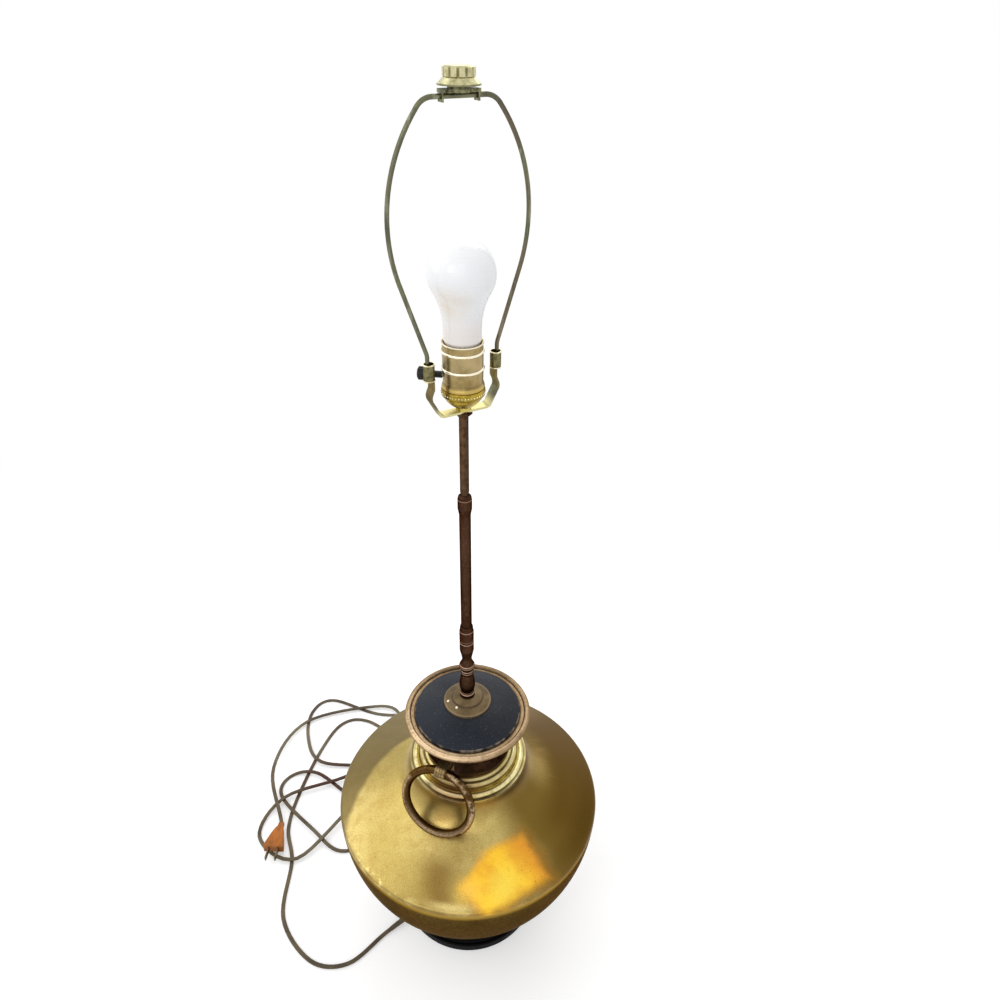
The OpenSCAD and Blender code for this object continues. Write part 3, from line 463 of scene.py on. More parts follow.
def black_plinth():
    f = Finish("black lacquered wood")
    wear = (f.noise(90, 5, 0.6) * 0.7 + f.radius().step(0.0835, 0.0865) * 0.3).step(0.62, 0.86)
    dust = f.noise(900, 3, 0.6).step(0.64, 0.76)
    colour = f.blend(wear, tint("030303"), tint("080808"))
    colour = f.blend(dust * 0.12, colour, tint("4c4a47"))
    return f.paint(base_color=colour, roughness=0.5 + 0.25 * wear, specular_ior_level=0.06,
                   normal=f.bump(f.noise(500, 3), 0.0001))


def rubber_bushing():
    f = Finish("bushing rubber")
    grime_and_shade = f.noise(700, 3, 0.6)
    return f.paint(base_color=f.blend(grime_and_shade, tint("0d0d0d"), tint("2a2723")), roughness=0.6 + 0.2 * grime_and_shade,
                   normal=f.bump(grime_and_shade, 0.0001))


def spun_lines(f, scale=1400):
    """Very fine rings left by spinning and polishing, uneven along their length."""
    rings = (f.axis("Z") * scale + f.radius() * scale * 0.7 + f.noise(14, 2) * 4).sine()
    return rings * f.noise(30, 2).step(0.35, 0.7)


def dark_bowl_brass():
    f = Finish("dull brown brass")
    cloud = f.noise(16, 5, 0.6)
    grain = f.noise(420, 4, 0.65)
    speck = f.noise(1300, 2, 0.6).step(0.5, 0.7)
    # Painted light and shade: the bowl is lighter on the left and warmer on the right, and painted shade darkens it
    # towards the bottom.
    low = f.axis("Z").step(0.17, 0.05)
    left = f.round_angle().near(-95, 70)
    right = f.round_angle().near(75, 75)
    colour = f.blend(cloud.step(0.35, 0.7), tint("66562f"), tint("52451f"))
    colour = f.blend(left * 0.85, colour, tint("93826e"))
    colour = f.blend(right * 0.45, colour, tint("6d5524"))
    colour = f.blend(low * 0.5, colour, tint("2f2516"))
    colour = f.blend(grain.step(0.45, 0.62) * 0.65, colour, tint("33260f"))
    colour = f.blend(speck * 0.45, colour, tint("94805a"))
    polished = f.axis("Z").step(0.1905, 0.1985)
    colour = f.blend(polished, colour, tint("b0924f"))
    return f.paint(base_color=colour, metallic=0.95, roughness=0.42 + 0.2 * cloud - 0.12 * polished,
                   specular_tint=tint("a08a60"), normal=f.bump(grain, 0.00016, 0.6))


def polished_shoulder_brass():
    # The shoulder's fields of light and dark below are painted reflections of the room, laid over the brass's own
    # mottled tone.
    f = Finish("polished brass")
    cloud = f.noise(9, 4, 0.55, bend=0.4)
    mottle = f.noise(75, 5, 0.6)
    grain = f.noise(1000, 3, 0.65)
    streak = f.noise(1.0, 5, 0.62, f.rays(9, 16), bend=0.3)
    front = f.round_angle()
    angle = front + (f.noise(11, 3, 0.5) - 0.5) * 22
    out = f.radius()
    colour = f.blend(cloud.step(0.35, 0.65), tint("d8c37e"), tint("bda760"))
    colour = f.blend(mottle.step(0.42, 0.72) * 0.5, colour, tint("b0924e"))
    # Painted dark reflection: a soft dark band up the front of the shoulder.
    painted_dark_band = (angle + out * 200 - 12.4).near(0, 18) * out.step(0.07, 0.09)
    colour = f.blend(painted_dark_band * 0.4, colour, tint("876a34"))
    shade = (angle - out * 120 + 26.8).near(0, 13) * out.step(0.1, 0.118)
    colour = f.blend(shade * 0.8, colour, tint("836834"))
    # Painted dark reflection over the upper left of the shoulder, with a crisp edge.
    painted_dark_reflection = (angle - out * 1050 + 217).step(4, -5)
    colour = f.blend(painted_dark_reflection * (0.8 + 0.2 * streak), colour, tint("7b6c45"))
    # Painted shade: the right side of the shoulder darkens, most of all towards its outer edge.
    right = angle.step(20, 52)
    colour = f.blend(right, colour, tint("78612b"))
    right_dark = angle.step(40, 72) * out.step(0.082, 0.112)
    colour = f.blend(right_dark * 0.95, colour, tint("604719"))
    right_rim = angle.near(70, 44) * out.step(0.118, 0.142)
    colour = f.blend(right_rim * 0.8, colour, tint("4f3a10"))
    # Painted reflections: pale rays and a pale band on the shoulder to the right of the neck.
    rays = streak.step(0.46, 0.6) * front.near(104, 34) * out.step(0.108, 0.086)
    colour = f.blend(rays * 0.35, colour, tint("b3955a"))
    band = front.near(97, 27) * out.step(0.101, 0.079)
    colour = f.blend(band * (0.55 + 0.45 * mottle), colour, tint("b0965a"))
    # The painted light and shade fields end in one even tone at the back.
    back = front.maths("ABSOLUTE", front).step(132, 158)
    colour = f.blend(back, colour, tint("86703f"))
    # Painted reflection of warm light: an orange patch on the front right of the shoulder, with a brown surround, a
    # yellow heart and a paler pool.
    wander = (f.noise(26, 3, 0.5) - 0.5) * 0.014 + (f.noise(120, 3, 0.6) - 0.5) * 0.005
    across = f.axis("X") * 0.78 - f.axis("Y") * 0.62 - 0.1069 + wander
    along = f.axis("X") * 0.62 + f.axis("Y") * 0.78 + 0.0576 + wander
    inside = 0.0295 + across - along * 0.427
    for side in (0.0353 - across * 0.222 - along, 0.023 + along * 0.34 - across, across + 0.031, along + 0.045):
        inside = inside.maths("MINIMUM", inside, side)
    colour = f.blend(inside.step(-0.016, 0) * across.step(-0.03, 0) * 0.75, colour, tint("9c6f29"))
    glow = inside.step(-0.005, 0.008)
    colour = f.blend(glow, colour, tint("e39c36"))
    glow_heart = glow * along.step(0.03, 0.002) * (0.45 + 0.55 * f.noise(40, 4, 0.6).step(0.38, 0.6))
    colour = f.blend(glow_heart, colour, tint("ffcc3c"))
    light_pool = glow * along.near(-0.014, 0.034) * across.near(0.004, 0.024)
    colour = f.blend(light_pool * 0.75, colour, tint("ffe45a"))
    # Painted light: a soft warm spot at the front of the shoulder.
    painted_spill = front.near(2, 9) * out.near(0.131, 0.019)
    colour = f.blend(painted_spill * 0.8, colour, tint("f6c558"))
    # Painted reflection: a warm patch under the front ring.
    under = front.near(-19, 17) * out.near(0.071, 0.011)
    colour = f.blend(under * 0.4, colour, tint("c08d44"))
    glint = front.near(-42, 36) * out.near(0.1475, 0.0055) * f.noise(85, 4, 0.65).step(0.49, 0.56)
    colour = f.blend(glint * 0.65, colour, tint("f6e59a"))
    sheen = front.near(-5, 15) * out.near(0.1455, 0.007)
    colour = f.blend(sheen * 0.75, colour, tint("f4dd92"))
    edge = f.axis("Z").near(0.2015, 0.0045) * f.noise(60, 4).step(0.3, 0.6)
    colour = f.blend(edge * 0.5, colour, tint("6f5a30"))
    # Painted shade next to the moulding.
    colour = f.blend(out.step(0.074, 0.066) * 0.5, colour, tint("7f6430"))
    pits = f.cells(230, jitter=1.0).step(0.19, 0.07) * f.noise(38, 3, 0.6).step(0.48, 0.62)
    specks = f.noise(520, 3, 0.6).step(0.64, 0.76)
    colour = f.blend(grain.step(0.4, 0.6) * (0.32 - 0.22 * glow), colour, tint("6d5223"))
    colour = f.blend((pits * 0.55).maths("MAXIMUM", pits * 0.55, specks * 0.4), colour, tint("4e3a1a"))
    rough = 0.24 + 0.1 * cloud + 0.12 * grain
    height = spun_lines(f) * 0.12 - pits + 0.25 * f.noise(30, 3) + 0.15 * grain
    return f.paint(base_color=colour, metallic=1.0, roughness=rough, normal=f.bump(height, 0.0001, 0.7))


def moulding_brass():
    f = Finish("moulding brass")
    cloud = f.noise(40, 5, 0.6)
    worn = f.noise(120, 4, 0.65).step(0.5, 0.66)
    # Painted shade in the moulding's two grooves.
    painted_dark_band = f.axis("Z").near(0.2786, 0.0022).maths("MAXIMUM", f.axis("Z").near(0.2786, 0.0022),
                                                    f.axis("Z").near(0.2716, 0.001))
    front = f.round_angle().near(-15, 40)
    colour = f.blend(cloud.step(0.35, 0.7), tint("efe4ab"), tint("cdb97a"))
    # Painted light on the front of the moulding, and painted dark reflections on its upper bands there.
    colour = f.blend(front * 0.85, colour, tint("f4d09c"))
    colour = f.blend(f.axis("Z").step(0.2778, 0.2805) * (0.3 + 0.6 * front), colour, tint("75613c"))
    colour = f.blend(f.axis("Z").near(0.2752, 0.0036) * front * 0.7, colour, tint("6c6048"))
    colour = f.blend(worn * 0.45, colour, tint("8f7a46"))
    colour = f.blend(painted_dark_band * 0.85, colour, tint("4a3a1a"))
    colour = f.blend(f.axis("Z").step(0.2712, 0.268) * 0.6, colour, tint("6b5a2d"))
    return f.paint(base_color=colour, metallic=1.0, roughness=0.24 + 0.16 * cloud,
                   normal=f.bump(spun_lines(f), 0.00003, 0.5))


def neck_brass():
    f = Finish("neck brass")
    cloud = f.noise(55, 5, 0.6)
    colour = f.blend(cloud.step(0.3, 0.7), tint("6b5230"), tint("46351f"))
    return f.paint(base_color=colour, metallic=1.0, roughness=0.35 + 0.15 * cloud, normal=f.bump(cloud, 0.0001, 0.5))


def dark_bronze():
    f = Finish("dark bronze")
    cloud = f.noise(60, 5, 0.65)
    rub = f.noise(240, 4, 0.6).step(0.52, 0.72)
    colour = f.blend(cloud.step(0.3, 0.7), tint("2c2118"), tint("42332a"))
    colour = f.blend(rub * 0.4, colour, tint("695039"))
    return f.paint(base_color=colour, metallic=1.0, roughness=0.32 + 0.2 * cloud, specular_tint=tint("8a6a45"),
                   normal=f.bump(rub, 0.00008, 0.5))


def column_bronze():
    f = Finish("column bronze")
    cloud = f.noise(80, 5, 0.65, f.stretched(1, 1, 0.35))
    rub = f.noise(420, 4, 0.6, f.stretched(1, 1, 0.5)).step(0.5, 0.72)
    up = f.axis("Z")
    colour = f.blend(cloud.step(0.3, 0.7), tint("39251a"), tint("4f382a"))
    colour = f.blend(rub * 0.35, colour, tint("6f543f"))
    colour = f.blend(up.step(0.4, 0.37) * 0.5, colour, tint("2a1a0d"))
    lines = up.near(0.6165, 0.0007)
    for height in (0.3706, 0.3722, 0.4005, 0.4035, 0.4096, 0.4115, 0.4428, 0.4462, 0.4585):
        line = up.near(height, 0.0006)
        lines = lines.maths("MAXIMUM", lines, line)
    colour = f.blend(lines * (0.45 + 0.5 * f.noise(300, 3, 0.6)), colour, tint("d3ae94"))
    return f.paint(base_color=colour, metallic=1.0, roughness=0.33 + 0.2 * cloud, specular_tint=tint("7a5c48"),
                   normal=f.bump(rub, 0.00006, 0.5))


def worn_rim_bronze():
    f = Finish("worn rim bronze")
    cloud = f.noise(34, 5, 0.65)
    fine = f.noise(380, 4, 0.6)
    angle = f.round_angle()
    top = f.axis("Z").step(0.3385, 0.3425)
    front = angle.near(-28, 80)
    back = angle.maths("ABSOLUTE", angle).step(95, 150)
    gap = f.radius().step(0.0592, 0.0576)
    groove = f.radius().near(0.0622, 0.0009) * fine.step(0.3, 0.6)
    colour = f.blend(cloud.step(0.35, 0.7), tint("8a7150"), tint("664e33"))
    mottle = f.noise(150, 5, 0.68).step(0.36, 0.58)
    # Painted light on the front of the rim's top, broken by its mottling.
    colour = f.blend(top * (0.15 + 0.9 * front + 0.5 * fine) * (0.55 + 0.45 * mottle), colour, tint("d6ba95"))
    colour = f.blend(f.noise(330, 4, 0.7).step(0.55, 0.68) * 0.45, colour, tint("4e3b28"))
    # Painted shade on the back of the rim.
    colour = f.blend(back * (0.35 + 0.4 * cloud), colour, tint("5d4a35"))
    # Painted shade in the gap by the lid and in the groove.
    colour = f.blend(gap.maths("MAXIMUM", gap * 0.85, groove * 0.75), colour, tint("33261a"))
    lip = f.radius().near(0.0607, 0.0006) * f.noise(160, 4, 0.65).step(0.46, 0.58)
    colour = f.blend(lip * 0.4, colour, tint("c9b592"))
    return f.paint(base_color=colour, metallic=0.85, roughness=0.32 + 0.2 * cloud, specular_tint=tint("b79d7c"),
                   normal=f.bump(fine, 0.00008, 0.5))


def navy_lid():
    f = Finish("navy lid lacquer")
    cloud = f.noise(22, 5, 0.6)
    dust = f.noise(620, 3, 0.6).step(0.6, 0.72)
    dim = f.noise(14, 3, 0.55).step(0.38, 0.62) * f.axis("Y").step(-0.045, 0.02)
    rub = f.radius().near(0.0567, 0.0011) * f.noise(120, 4, 0.6).step(0.4, 0.62)
    scratch = f.noise(160, 2, 0.5, f.stretched(1, 6, 6)).near(0.5, 0.006) * f.noise(25, 2).step(0.5, 0.6)
    colour = f.blend(cloud.step(0.3, 0.75), tint("12161f"), tint("1b212b"))
    colour = f.blend(dim * 0.4, colour, tint("3b3e41"))
    colour = f.blend(f.round_angle().near(80, 60) * 0.06, colour, tint("463d33"))
    colour = f.blend(dust * 0.25, colour, tint("83868a"))
    colour = f.blend(rub.maths("MAXIMUM", rub * 0.6, scratch * 0.3), colour, tint("a3947d"))
    return f.paint(base_color=colour, roughness=0.4 + 0.14 * cloud, specular_ior_level=0.2,
                   normal=f.bump(f.noise(260, 4, 0.6), 0.00012, 0.5))


def aged_ring_bronze():
    f = Finish("aged ring bronze")
    low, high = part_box("ring_handle_front")
    middle = (low + high) / 2
    reach = f.gap(tuple(middle))
    rear = f.gap((-middle.x, -middle.y, middle.z))
    reach = reach.maths("MINIMUM", reach, rear)
    cloud = f.noise(90, 5, 0.65)
    pits = f.noise(620, 4, 0.7).step(0.36, 0.54)
    # Wear on the ring's outer edge, and a painted highlight along its lower outside.
    worn = f.noise(60, 4, 0.6).step(0.44, 0.56) * reach.step(0.0375, 0.0402)
    lower_highlight = f.axis("Z").step(middle.z - 0.002, low.z + 0.004) * reach.near(0.0375, 0.0034)
    worn = worn.maths("MAXIMUM", worn, lower_highlight * 0.7)
    colour = f.blend(cloud.step(0.3, 0.7), tint("4b3418"), tint("614726"))
    # Painted shade on the inner side of the ring.
    colour = f.blend(reach.step(0.0385, 0.035) * 0.6, colour, tint("33210f"))
    colour = f.blend(worn * 0.85, colour, tint("bda483"))
    colour = f.blend((1 - pits) * 0.6, colour, tint("2e1f0e"))
    return f.paint(base_color=colour, metallic=1.0, roughness=0.18 + 0.18 * cloud, specular_tint=tint("c9b48c"),
                   normal=f.bump(pits, 0.00008, 0.5))


def bracket_brass():
    f = Finish("bracket brass")
    cloud = f.noise(130, 5, 0.65)
    azimuth = math.radians(247.4)
    across = f.axis("X") * -math.sin(azimuth) + f.axis("Y") * math.cos(azimuth)
    folds = (across * (2 * math.pi / 0.0029)).sine()
    colour = f.blend(cloud.step(0.35, 0.7), tint("a38b62"), tint("6b5534"))
    colour = f.blend(folds.step(-0.2, -0.9) * 0.6, colour, tint("3a2a17"))
    return f.paint(base_color=colour, metallic=0.95, roughness=0.3 + 0.2 * cloud,
                   normal=f.bump(folds * 0.6 + 0.3 * f.noise(500, 4), 0.0003, 0.6))


def canopy_bronze():
    f = Finish("canopy bronze")
    cloud = f.noise(60, 5, 0.65)
    lip = f.radius().step(0.0228, 0.0248)
    foot = f.radius().near(0.0165, 0.0012)
    speck = f.gap((-0.0206, -0.005, 0.3597))
    specks = speck.maths("MINIMUM", speck, f.gap((-0.0109, -0.0148, 0.3608))).step(0.0016, 0.0009)
    colour = f.blend(cloud.step(0.35, 0.7), tint("776548"), tint("5a4a31"))
    colour = f.blend(lip * 0.45, colour, tint("9c866a"))
    colour = f.blend(f.noise(420, 4, 0.7).step(0.54, 0.68) * 0.35, colour, tint("40311f"))
    colour = f.blend(foot * 0.6, colour, tint("3a2b1d"))
    colour = f.blend(specks, colour, tint("f2e8d2"))
    return f.paint(base_color=colour, metallic=0.8, roughness=0.4 + 0.2 * cloud,
                   normal=f.bump(spun_lines(f), 0.00004, 0.5))


def pipe_brass():
    f = Finish("threaded pipe brass")
    cloud = f.noise(160, 4, 0.6)
    colour = f.blend(cloud.step(0.35, 0.7), tint("594330"), tint("3d2c1f"))
    return f.paint(base_color=colour, metallic=1.0, roughness=0.34 + 0.2 * cloud, specular_tint=tint("8a6a50"),
                   normal=f.bump(cloud, 0.0001, 0.4))


def plated_steel():
    f = Finish("plated steel")
    cloud = f.noise(120, 4, 0.6)
    rust = f.noise(260, 5, 0.65).step(0.6, 0.72)
    colour = f.blend(cloud.step(0.3, 0.7), tint("b5b4ac"), tint("8e8c82"))
    colour = f.blend(rust * 0.6, colour, tint("6a4a30"))
    return f.paint(base_color=colour, metallic=0.95 - 0.5 * rust, roughness=0.3 + 0.3 * rust, normal=f.bump(cloud, 0.00005, 0.5))


def harp_brass():
    f = Finish("olive harp brass")
    cloud = f.noise(40, 4, 0.55)
    tarnish = f.noise(320, 4, 0.65).step(0.5, 0.75)
    up = f.axis("Z")
    colour = f.blend(cloud.step(0.3, 0.7), tint("76765c"), tint("58584b"))
    colour = f.blend(f.noise(11, 3, 0.5).step(0.5, 0.62) * 0.5, colour, tint("6c5a4e"))
    colour = f.blend(f.noise(150, 3, 0.6, f.stretched(1, 1, 0.1)).step(0.52, 0.64) * 0.4, colour, tint("a9ab8e"))
    colour = f.blend(tarnish * 0.22, colour, tint("3d3c2b"))
    colour = f.blend(up.step(0.716, 0.706) * 0.85, colour, tint("ded49d"))
    colour = f.blend(up.near(0.7335, 0.018) * 0.55, colour, tint("8a7346"))
    return f.paint(base_color=colour, metallic=0.95, roughness=0.26 + 0.16 * cloud, specular_tint=tint("b5b29a"),
                   normal=f.bump(tarnish, 0.00003, 0.4))


def sleeve_brass():
    f = Finish("sleeve brass")
    cloud = f.noise(200, 4, 0.6)
    colour = f.blend(cloud.step(0.35, 0.7), tint("87805a"), tint("4f4c34"))
    return f.paint(base_color=colour, metallic=0.95, roughness=0.25 + 0.2 * cloud, specular_tint=tint("b5b08a"),
                   normal=f.bump(cloud, 0.00005, 0.5))


def bright_bead_brass():
    f = Finish("bright bead brass")
    cloud = f.noise(400, 4, 0.6)
    colour = f.blend(cloud.step(0.42, 0.62), tint("fff8dc"), tint("c9b878"))
    return f.paint(base_color=colour, metallic=0.6, roughness=0.25 + 0.15 * cloud)


def finial_brass():
    f = Finish("pale finial brass")
    cloud = f.noise(220, 4, 0.6)
    # Painted shade in the knob's grooves.
    grime_and_shade = f.radius().step(0.0113, 0.0103) * f.axis("Z").step(0.948, 0.9492) * f.axis("Z").step(0.9542, 0.9535)
    # Painted shade on the parts below the knob's skirt.
    under = f.axis("Z").step(0.9446, 0.944)
    colour = f.blend(cloud.step(0.4, 0.75), tint("d3cda0"), tint("9c9466"))
    colour = f.blend(grime_and_shade * 0.85, colour, tint("4d4b2c"))
    colour = f.blend(under * 0.7, colour, tint("4c4c33"))
    return f.paint(base_color=colour, metallic=0.9, roughness=0.22 + 0.18 * cloud, normal=f.bump(cloud, 0.00005, 0.4))


def harp_plate_brass():
    f = Finish("harp plate brass")
    cloud = f.noise(260, 4, 0.6)
    colour = f.blend(cloud.step(0.35, 0.7), tint("8f8d6a"), tint("2f2f25"))
    colour = f.blend(f.axis("Z").step(0.9405, 0.9415) * 0.5, colour, tint("2f3020"))
    return f.paint(base_color=colour, metallic=0.95, roughness=0.28 + 0.2 * cloud, normal=f.bump(cloud, 0.00006, 0.5))


def socket_cap_brass():
    f = Finish("socket cap brass")
    cloud = f.noise(110, 5, 0.6)
    dent = f.noise(700, 3, 0.6)
    up = f.axis("Z")
    colour = f.blend(cloud.step(0.35, 0.7), tint("b99f3c"), tint("86702a"))
    colour = f.blend(up.near(0.7205, 0.0012) * 0.5, colour, tint("5b481c"))
    colour = f.blend(up.step(0.712, 0.7075) * 0.5, colour, tint("e2d27c"))
    return f.paint(base_color=colour, metallic=0.95, roughness=0.25 + 0.2 * cloud, normal=f.bump(dent, 0.00005, 0.5))


def socket_shell_brass():
    f = Finish("socket shell brass")
    cloud = f.noise(90, 5, 0.6)
    up = f.axis("Z")
    bead = f.radius().step(0.0165, 0.0172) * up.step(0.736, 0.738)
    foot = up.step(0.7305, 0.7295)
    colour = f.blend(cloud.step(0.35, 0.7), tint("b09a6a"), tint("8a7648"))
    colour = f.blend(up.near(0.7335, 0.011) * 0.25, colour, tint("7d6a3c"))
    colour = f.blend(bead * 0.95, colour, tint("fff8de"))
    colour = f.blend(up.near(0.7318, 0.0012) * 0.3, colour, tint("5f5030"))
    colour = f.blend(foot * 0.85, colour, tint("c8ac62"))
    return f.paint(base_color=colour, metallic=0.95, roughness=0.25 + 0.16 * cloud - 0.08 * bead,
                   normal=f.bump(f.noise(600, 4), 0.00005, 0.5))


def liner_card():
    f = Finish("liner card")
    fibre = f.noise(1500, 3, 0.6)
    return f.paint(base_color=f.blend(fibre, tint("a8956e"), tint("c9b994")), roughness=0.9, normal=f.bump(fibre, 0.0001))


def moulded_phenolic():
    f = Finish("moulded phenolic")
    cloud = f.noise(300, 4, 0.6)
    return f.paint(base_color=f.blend(cloud, tint("161514"), tint("2c2622")), roughness=0.35 + 0.15 * cloud,
                   normal=f.bump(cloud, 0.00008, 0.5))


def contact_brass():
    f = Finish("contact brass")
    cloud = f.noise(400, 4, 0.6)
    return f.paint(base_color=f.blend(cloud, tint("d8bb78"), tint("a08046")), metallic=1.0, roughness=0.28 + 0.2 * cloud)


def switch_shaft_steel():
    f = Finish("switch shaft steel")
    cloud = f.noise(500, 4, 0.6)
    return f.paint(base_color=f.blend(cloud, tint("a5a49c"), tint("77756c")), metallic=1.0, roughness=0.3 + 0.2 * cloud)


def black_knob():
    f = Finish("black knob")
    cloud = f.noise(260, 4, 0.6)
    dust = f.noise(1500, 3, 0.6).step(0.62, 0.74)
    colour = f.blend(cloud.step(0.3, 0.7), tint("10100f"), tint("1e1e1a"))
    colour = f.blend(dust * 0.35, colour, tint("6a675e"))
    return f.paint(base_color=colour, roughness=0.36 + 0.2 * cloud, specular_ior_level=0.3,
                   normal=f.bump(cloud, 0.00006, 0.5))


def frosted_glass():
    f = Finish("frosted glass")
    cloud = f.noise(60, 4, 0.55)
    up = f.axis("Z")
    stain = up.near(0.8, 0.021) * f.round_angle().near(-30, 75) * (0.5 + 0.5 * f.noise(60, 3, 0.5).step(0.35, 0.6))
    neck = up.step(0.797, 0.772)
    colour = f.blend(cloud, tint("fcfdff"), tint("f6f8fc"))
    colour = f.blend(stain * 0.7, colour, tint("f0dfc6"))
    colour = f.blend(neck * 0.6, colour, tint("efe2d8"))
    return f.paint(base_color=colour, roughness=0.2 + 0.12 * cloud, coat_weight=0.6, coat_roughness=0.06,
                   normal=f.bump(f.noise(900, 3), 0.00003, 0.4))


def bulb_tin():
    f = Finish("bulb cap metal")
    thread = (f.axis("Z") * (2 * math.pi / 0.0036)).sine()
    cloud = f.noise(200, 4, 0.6)
    colour = f.blend(cloud.step(0.35, 0.7), tint("cfc8b4"), tint("9c9480"))
    return f.paint(base_color=colour, metallic=1.0, roughness=0.28 + 0.2 * cloud, normal=f.bump(thread, 0.0006))


def clear_stem():
    f = Finish("stem glass")
    cloud = f.noise(150, 3)
    return f.paint(base_color=f.blend(cloud, tint("e8eeee"), tint("d8e0e0")), roughness=0.08 + 0.05 * cloud,
                   transmission_weight=0.8)


def filament_wire():
    f = Finish("filament wire")
    cloud = f.noise(900, 3)
    return f.paint(base_color=f.blend(cloud, tint("6a6a68"), tint("9a9a96")), metallic=1.0, roughness=0.4 + 0.2 * cloud)


def cord_jacket():
    f = Finish("olive cord jacket")
    cloud = f.noise(22, 4, 0.6)
    grime_and_shade = f.noise(260, 4, 0.65)
    # Painted shade where the cord lies heaped.
    heap = f.axis("X").near(-0.21, 0.1) * f.axis("Y").near(0.15, 0.08)
    colour = f.blend(cloud.step(0.3, 0.7), tint("6b5d45"), tint("43382a"))
    colour = f.blend(f.noise(8, 3).step(0.5, 0.62) * 0.5, colour, tint("837b62"))
    colour = f.blend(heap * 1.3, colour, tint("42240f"))
    colour = f.blend(grime_and_shade.step(0.5, 0.78) * 0.25, colour, tint("463823"))
    colour = f.blend(f.noise(900, 3).step(0.62, 0.75) * 0.2, colour, tint("a89c80"))
    return f.paint(base_color=colour, roughness=0.36 + 0.18 * grime_and_shade, specular_ior_level=0.3,
                   normal=f.bump(grime_and_shade, 0.00005, 0.4))


def amber_plug():
    f = Finish("amber plug")
    cloud = f.noise(80, 4, 0.6, f.stretched(1.6, 0.5, 1))
    wear = f.noise(420, 4, 0.65).step(0.55, 0.75)
    colour = f.blend(cloud.step(0.3, 0.7), tint("b8680f"), tint("8a4e08"))
    colour = f.blend(wear * 0.3, colour, tint("5e330d"))
    return f.paint(base_color=colour, roughness=0.3 + 0.15 * cloud, specular_ior_level=0.35,
                   coat_weight=0.1, coat_roughness=0.2, normal=f.bump(wear, 0.00006, 0.5))


def blade_brass():
    f = Finish("blade brass")
    rub = f.noise(300, 4, 0.6, f.stretched(6, 1, 6))
    return f.paint(base_color=f.blend(rub, tint("7d7054"), tint("564a33")), metallic=1.0, roughness=0.3 + 0.2 * rub)


FINISHES = {
    felt_pad: ["base_felt"],
    black_plinth: ["base_plinth"],
    rubber_bushing: ["cord_bushing"],
    dark_bowl_brass: ["urn_bowl"],
    polished_shoulder_brass: ["urn_shoulder"],
    moulding_brass: ["neck_moulding"],
    neck_brass: ["urn_neck"],
    dark_bronze: ["neck_band"],
    worn_rim_bronze: ["rim_ring"],
    navy_lid: ["lid_disc"],
    bracket_brass: ["handle_bracket_front", "handle_bracket_rear", "bracket_rivets"],
    aged_ring_bronze: ["ring_handle_front", "ring_handle_rear"],
    canopy_bronze: ["canopy"],
    column_bronze: ["column_baluster", "column_tube", "column_coupling"],
    pipe_brass: ["lamp_pipe", "saddle_locknut"],
    plated_steel: ["pipe_nut", "pipe_washer", "cap_set_screw"],
    harp_brass: ["harp_saddle", "harp_wire"],
    harp_plate_brass: ["harp_plate"],
    sleeve_brass: ["harp_sleeve_left", "harp_sleeve_right"],
    finial_brass: ["finial", "shade_stud"],
    socket_cap_brass: ["socket_cap"],
    socket_shell_brass: ["socket_shell"],
    liner_card: ["socket_liner"],
    moulded_phenolic: ["socket_body"],
    contact_brass: ["screw_shell", "centre_contact", "terminal_screws"],
    switch_shaft_steel: ["switch_shaft"],
    black_knob: ["switch_knob"],
    frosted_glass: ["bulb_glass"],
    bulb_tin: ["bulb_cap", "bulb_contact"],
    clear_stem: ["bulb_stem"],
    filament_wire: ["bulb_filament"],
    cord_jacket: ["inner_cord"],
    blade_brass: ["plug_blades"],
}


def dress(piece, material):
    piece.data.materials.clear()
    piece.data.materials.append(material)


# Floor and light
def mix_shaders(tree, factor, a, b):
    mix = tree.nodes.new("ShaderNodeMixShader")
    tree.links.new(factor, mix.inputs[0])
    tree.links.new(a, mix.inputs[1])
    tree.links.new(b, mix.inputs[2])
    return mix.outputs[0]


def make_floor():
    """A pale floor that takes the lamp's shadow, and turns to plain white further off."""
    pick_nothing()
    bpy.ops.mesh.primitive_plane_add(size=40)
    floor = named("floor")
    f = Finish("pale floor")
    tree = f.tree
    far = f.radius().step(0.55, 1.6)
    chalk = tree.nodes.new("ShaderNodeBsdfDiffuse")
    chalk.inputs["Color"].default_value = (0.8, 0.8, 0.8, 1)
    glow = tree.nodes.new("ShaderNodeEmission")
    tree.links.new(seen_rays(tree, 0.0, 0.34), glow.inputs["Strength"])
    both = tree.nodes.new("ShaderNodeAddShader")
    tree.links.new(chalk.outputs[0], both.inputs[0])
    tree.links.new(glow.outputs[0], both.inputs[1])
    white = tree.nodes.new("ShaderNodeEmission")
    tree.links.new(seen_rays(tree, 0.55, 1.0), white.inputs["Strength"])
    output = next(node for node in tree.nodes if node.type == "OUTPUT_MATERIAL")
    tree.links.new(mix_shaders(tree, far.socket, both.outputs[0], white.outputs[0]), output.inputs["Surface"])
    tree.nodes.remove(f.shader)
    floor.data.materials.append(f.material)


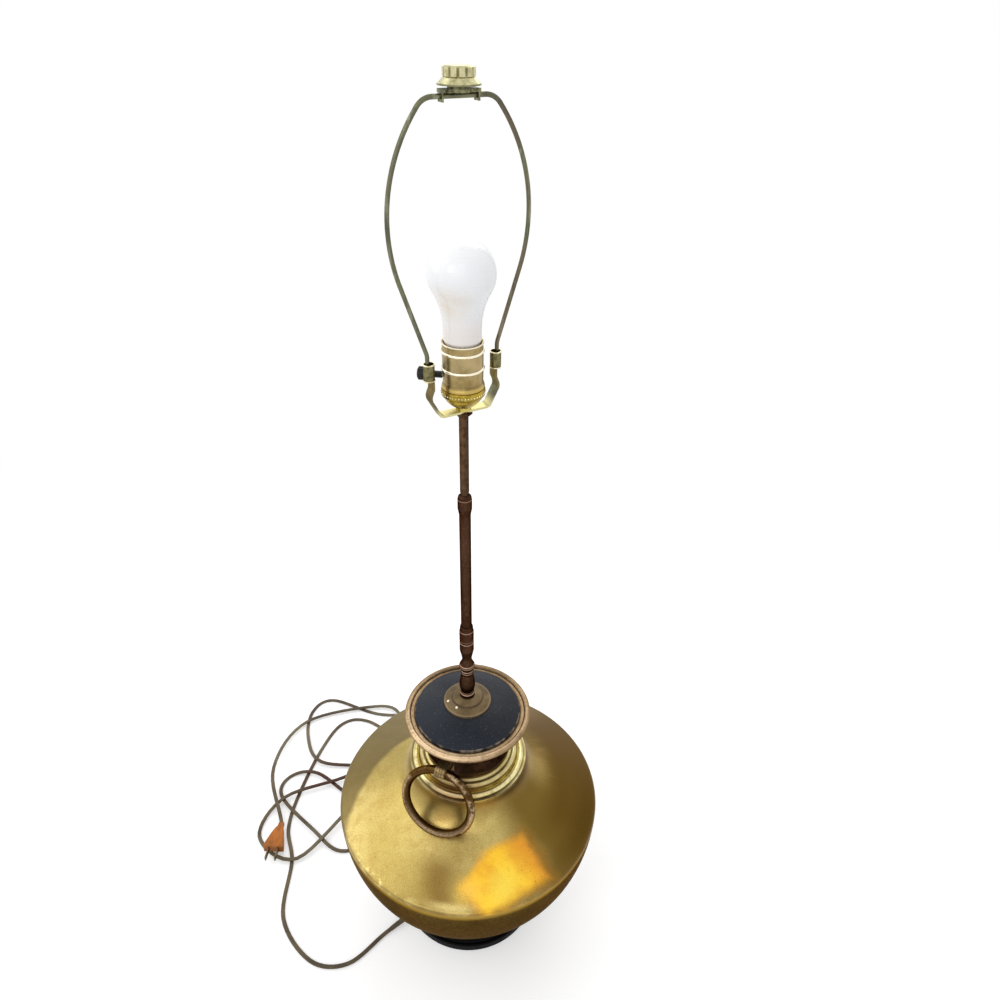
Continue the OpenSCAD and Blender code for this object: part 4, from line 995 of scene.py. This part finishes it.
def seen_rays(tree, unseen, seen):
    """A strength that is one value for the rays that see the background, and another for the rest."""
    path = tree.nodes.new("ShaderNodeLightPath")
    total = path.outputs["Is Camera Ray"]
    for name in ("Is Glossy Ray", "Is Transmission Ray"):
        either = tree.nodes.new("ShaderNodeMath")
        either.operation = "MAXIMUM"
        tree.links.new(total, either.inputs[0])
        tree.links.new(path.outputs[name], either.inputs[1])
        total = either.outputs[0]
    span = tree.nodes.new("ShaderNodeMapRange")
    tree.links.new(total, span.inputs["Value"])
    span.inputs["To Min"].default_value = unseen
    span.inputs["To Max"].default_value = seen
    return span.outputs["Result"]


def light_scene():
    world = bpy.data.worlds.new("studio")
    bpy.context.scene.world = world
    world.use_nodes = True
    tree = world.node_tree
    background = tree.nodes["Background"]
    background.inputs["Color"].default_value = (1, 1, 1, 1)
    tree.links.new(seen_rays(tree, 0.8, 1.0), background.inputs["Strength"])
    for name, place, size, power in (
            ("window light", (-2.1, 0.2, 1.9), 2.4, 16),
            ("pane light", (-1.1, -1.5, 1.8), 0.45, 3),
            ("fill light", (-0.4, -2.3, 1.9), 2.0, 8),
            ("back light", (0.3, 1.7, 2.1), 1.8, 14)):
        data = bpy.data.lights.new(name, "AREA")
        data.shape = "SQUARE"
        data.size = size
        data.energy = power
        lamp = bpy.data.objects.new(name, data)
        lamp.location = place
        lamp.rotation_euler = (Vector((0, 0, 0.35)) - Vector(place)).to_track_quat("-Z", "Y").to_euler()
        bpy.context.scene.collection.objects.link(lamp)
    bpy.context.scene.view_settings.view_transform = "Standard"


def add_piece(piece, body, slot, material, *stands_for):
    """Gives a new piece its body and its finish; its slot is not used."""
    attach(piece, body)
    if stands_for:
        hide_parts(*stands_for)
    dress(piece, material)
    return piece


def build():
    place_camera()
    finish = {make: make() for make in FINISHES}
    cord, line = make_cord()
    add_piece(cord, "lamp", "cord", finish[cord_jacket], "free_cord")
    plug = add_piece(make_plug(), "lamp", "plug", amber_plug(), "plug_body")
    length = sum((b - a).length for a, b in zip(line, line[1:]))
    add_piece(make_cord_relief(), "lamp", "cord", finish[cord_jacket])
    add_piece(make_pipe_thread(), "lamp", "pipe", finish[pipe_brass])
    bright = bright_bead_brass()
    add_piece(make_cap_beads(), "lamp", "socket_cap", bright)
    for side in ("left", "right"):
        lips = make_sleeve_lips(side, "harp_sleeve_" + side)
        add_piece(lips, "sleeve_" + side, "sleeve", bright)
    for make, nodes in FINISHES.items():
        for node in nodes:
            dress(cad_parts[node], finish[make])
    make_floor()
    light_scene()


build()
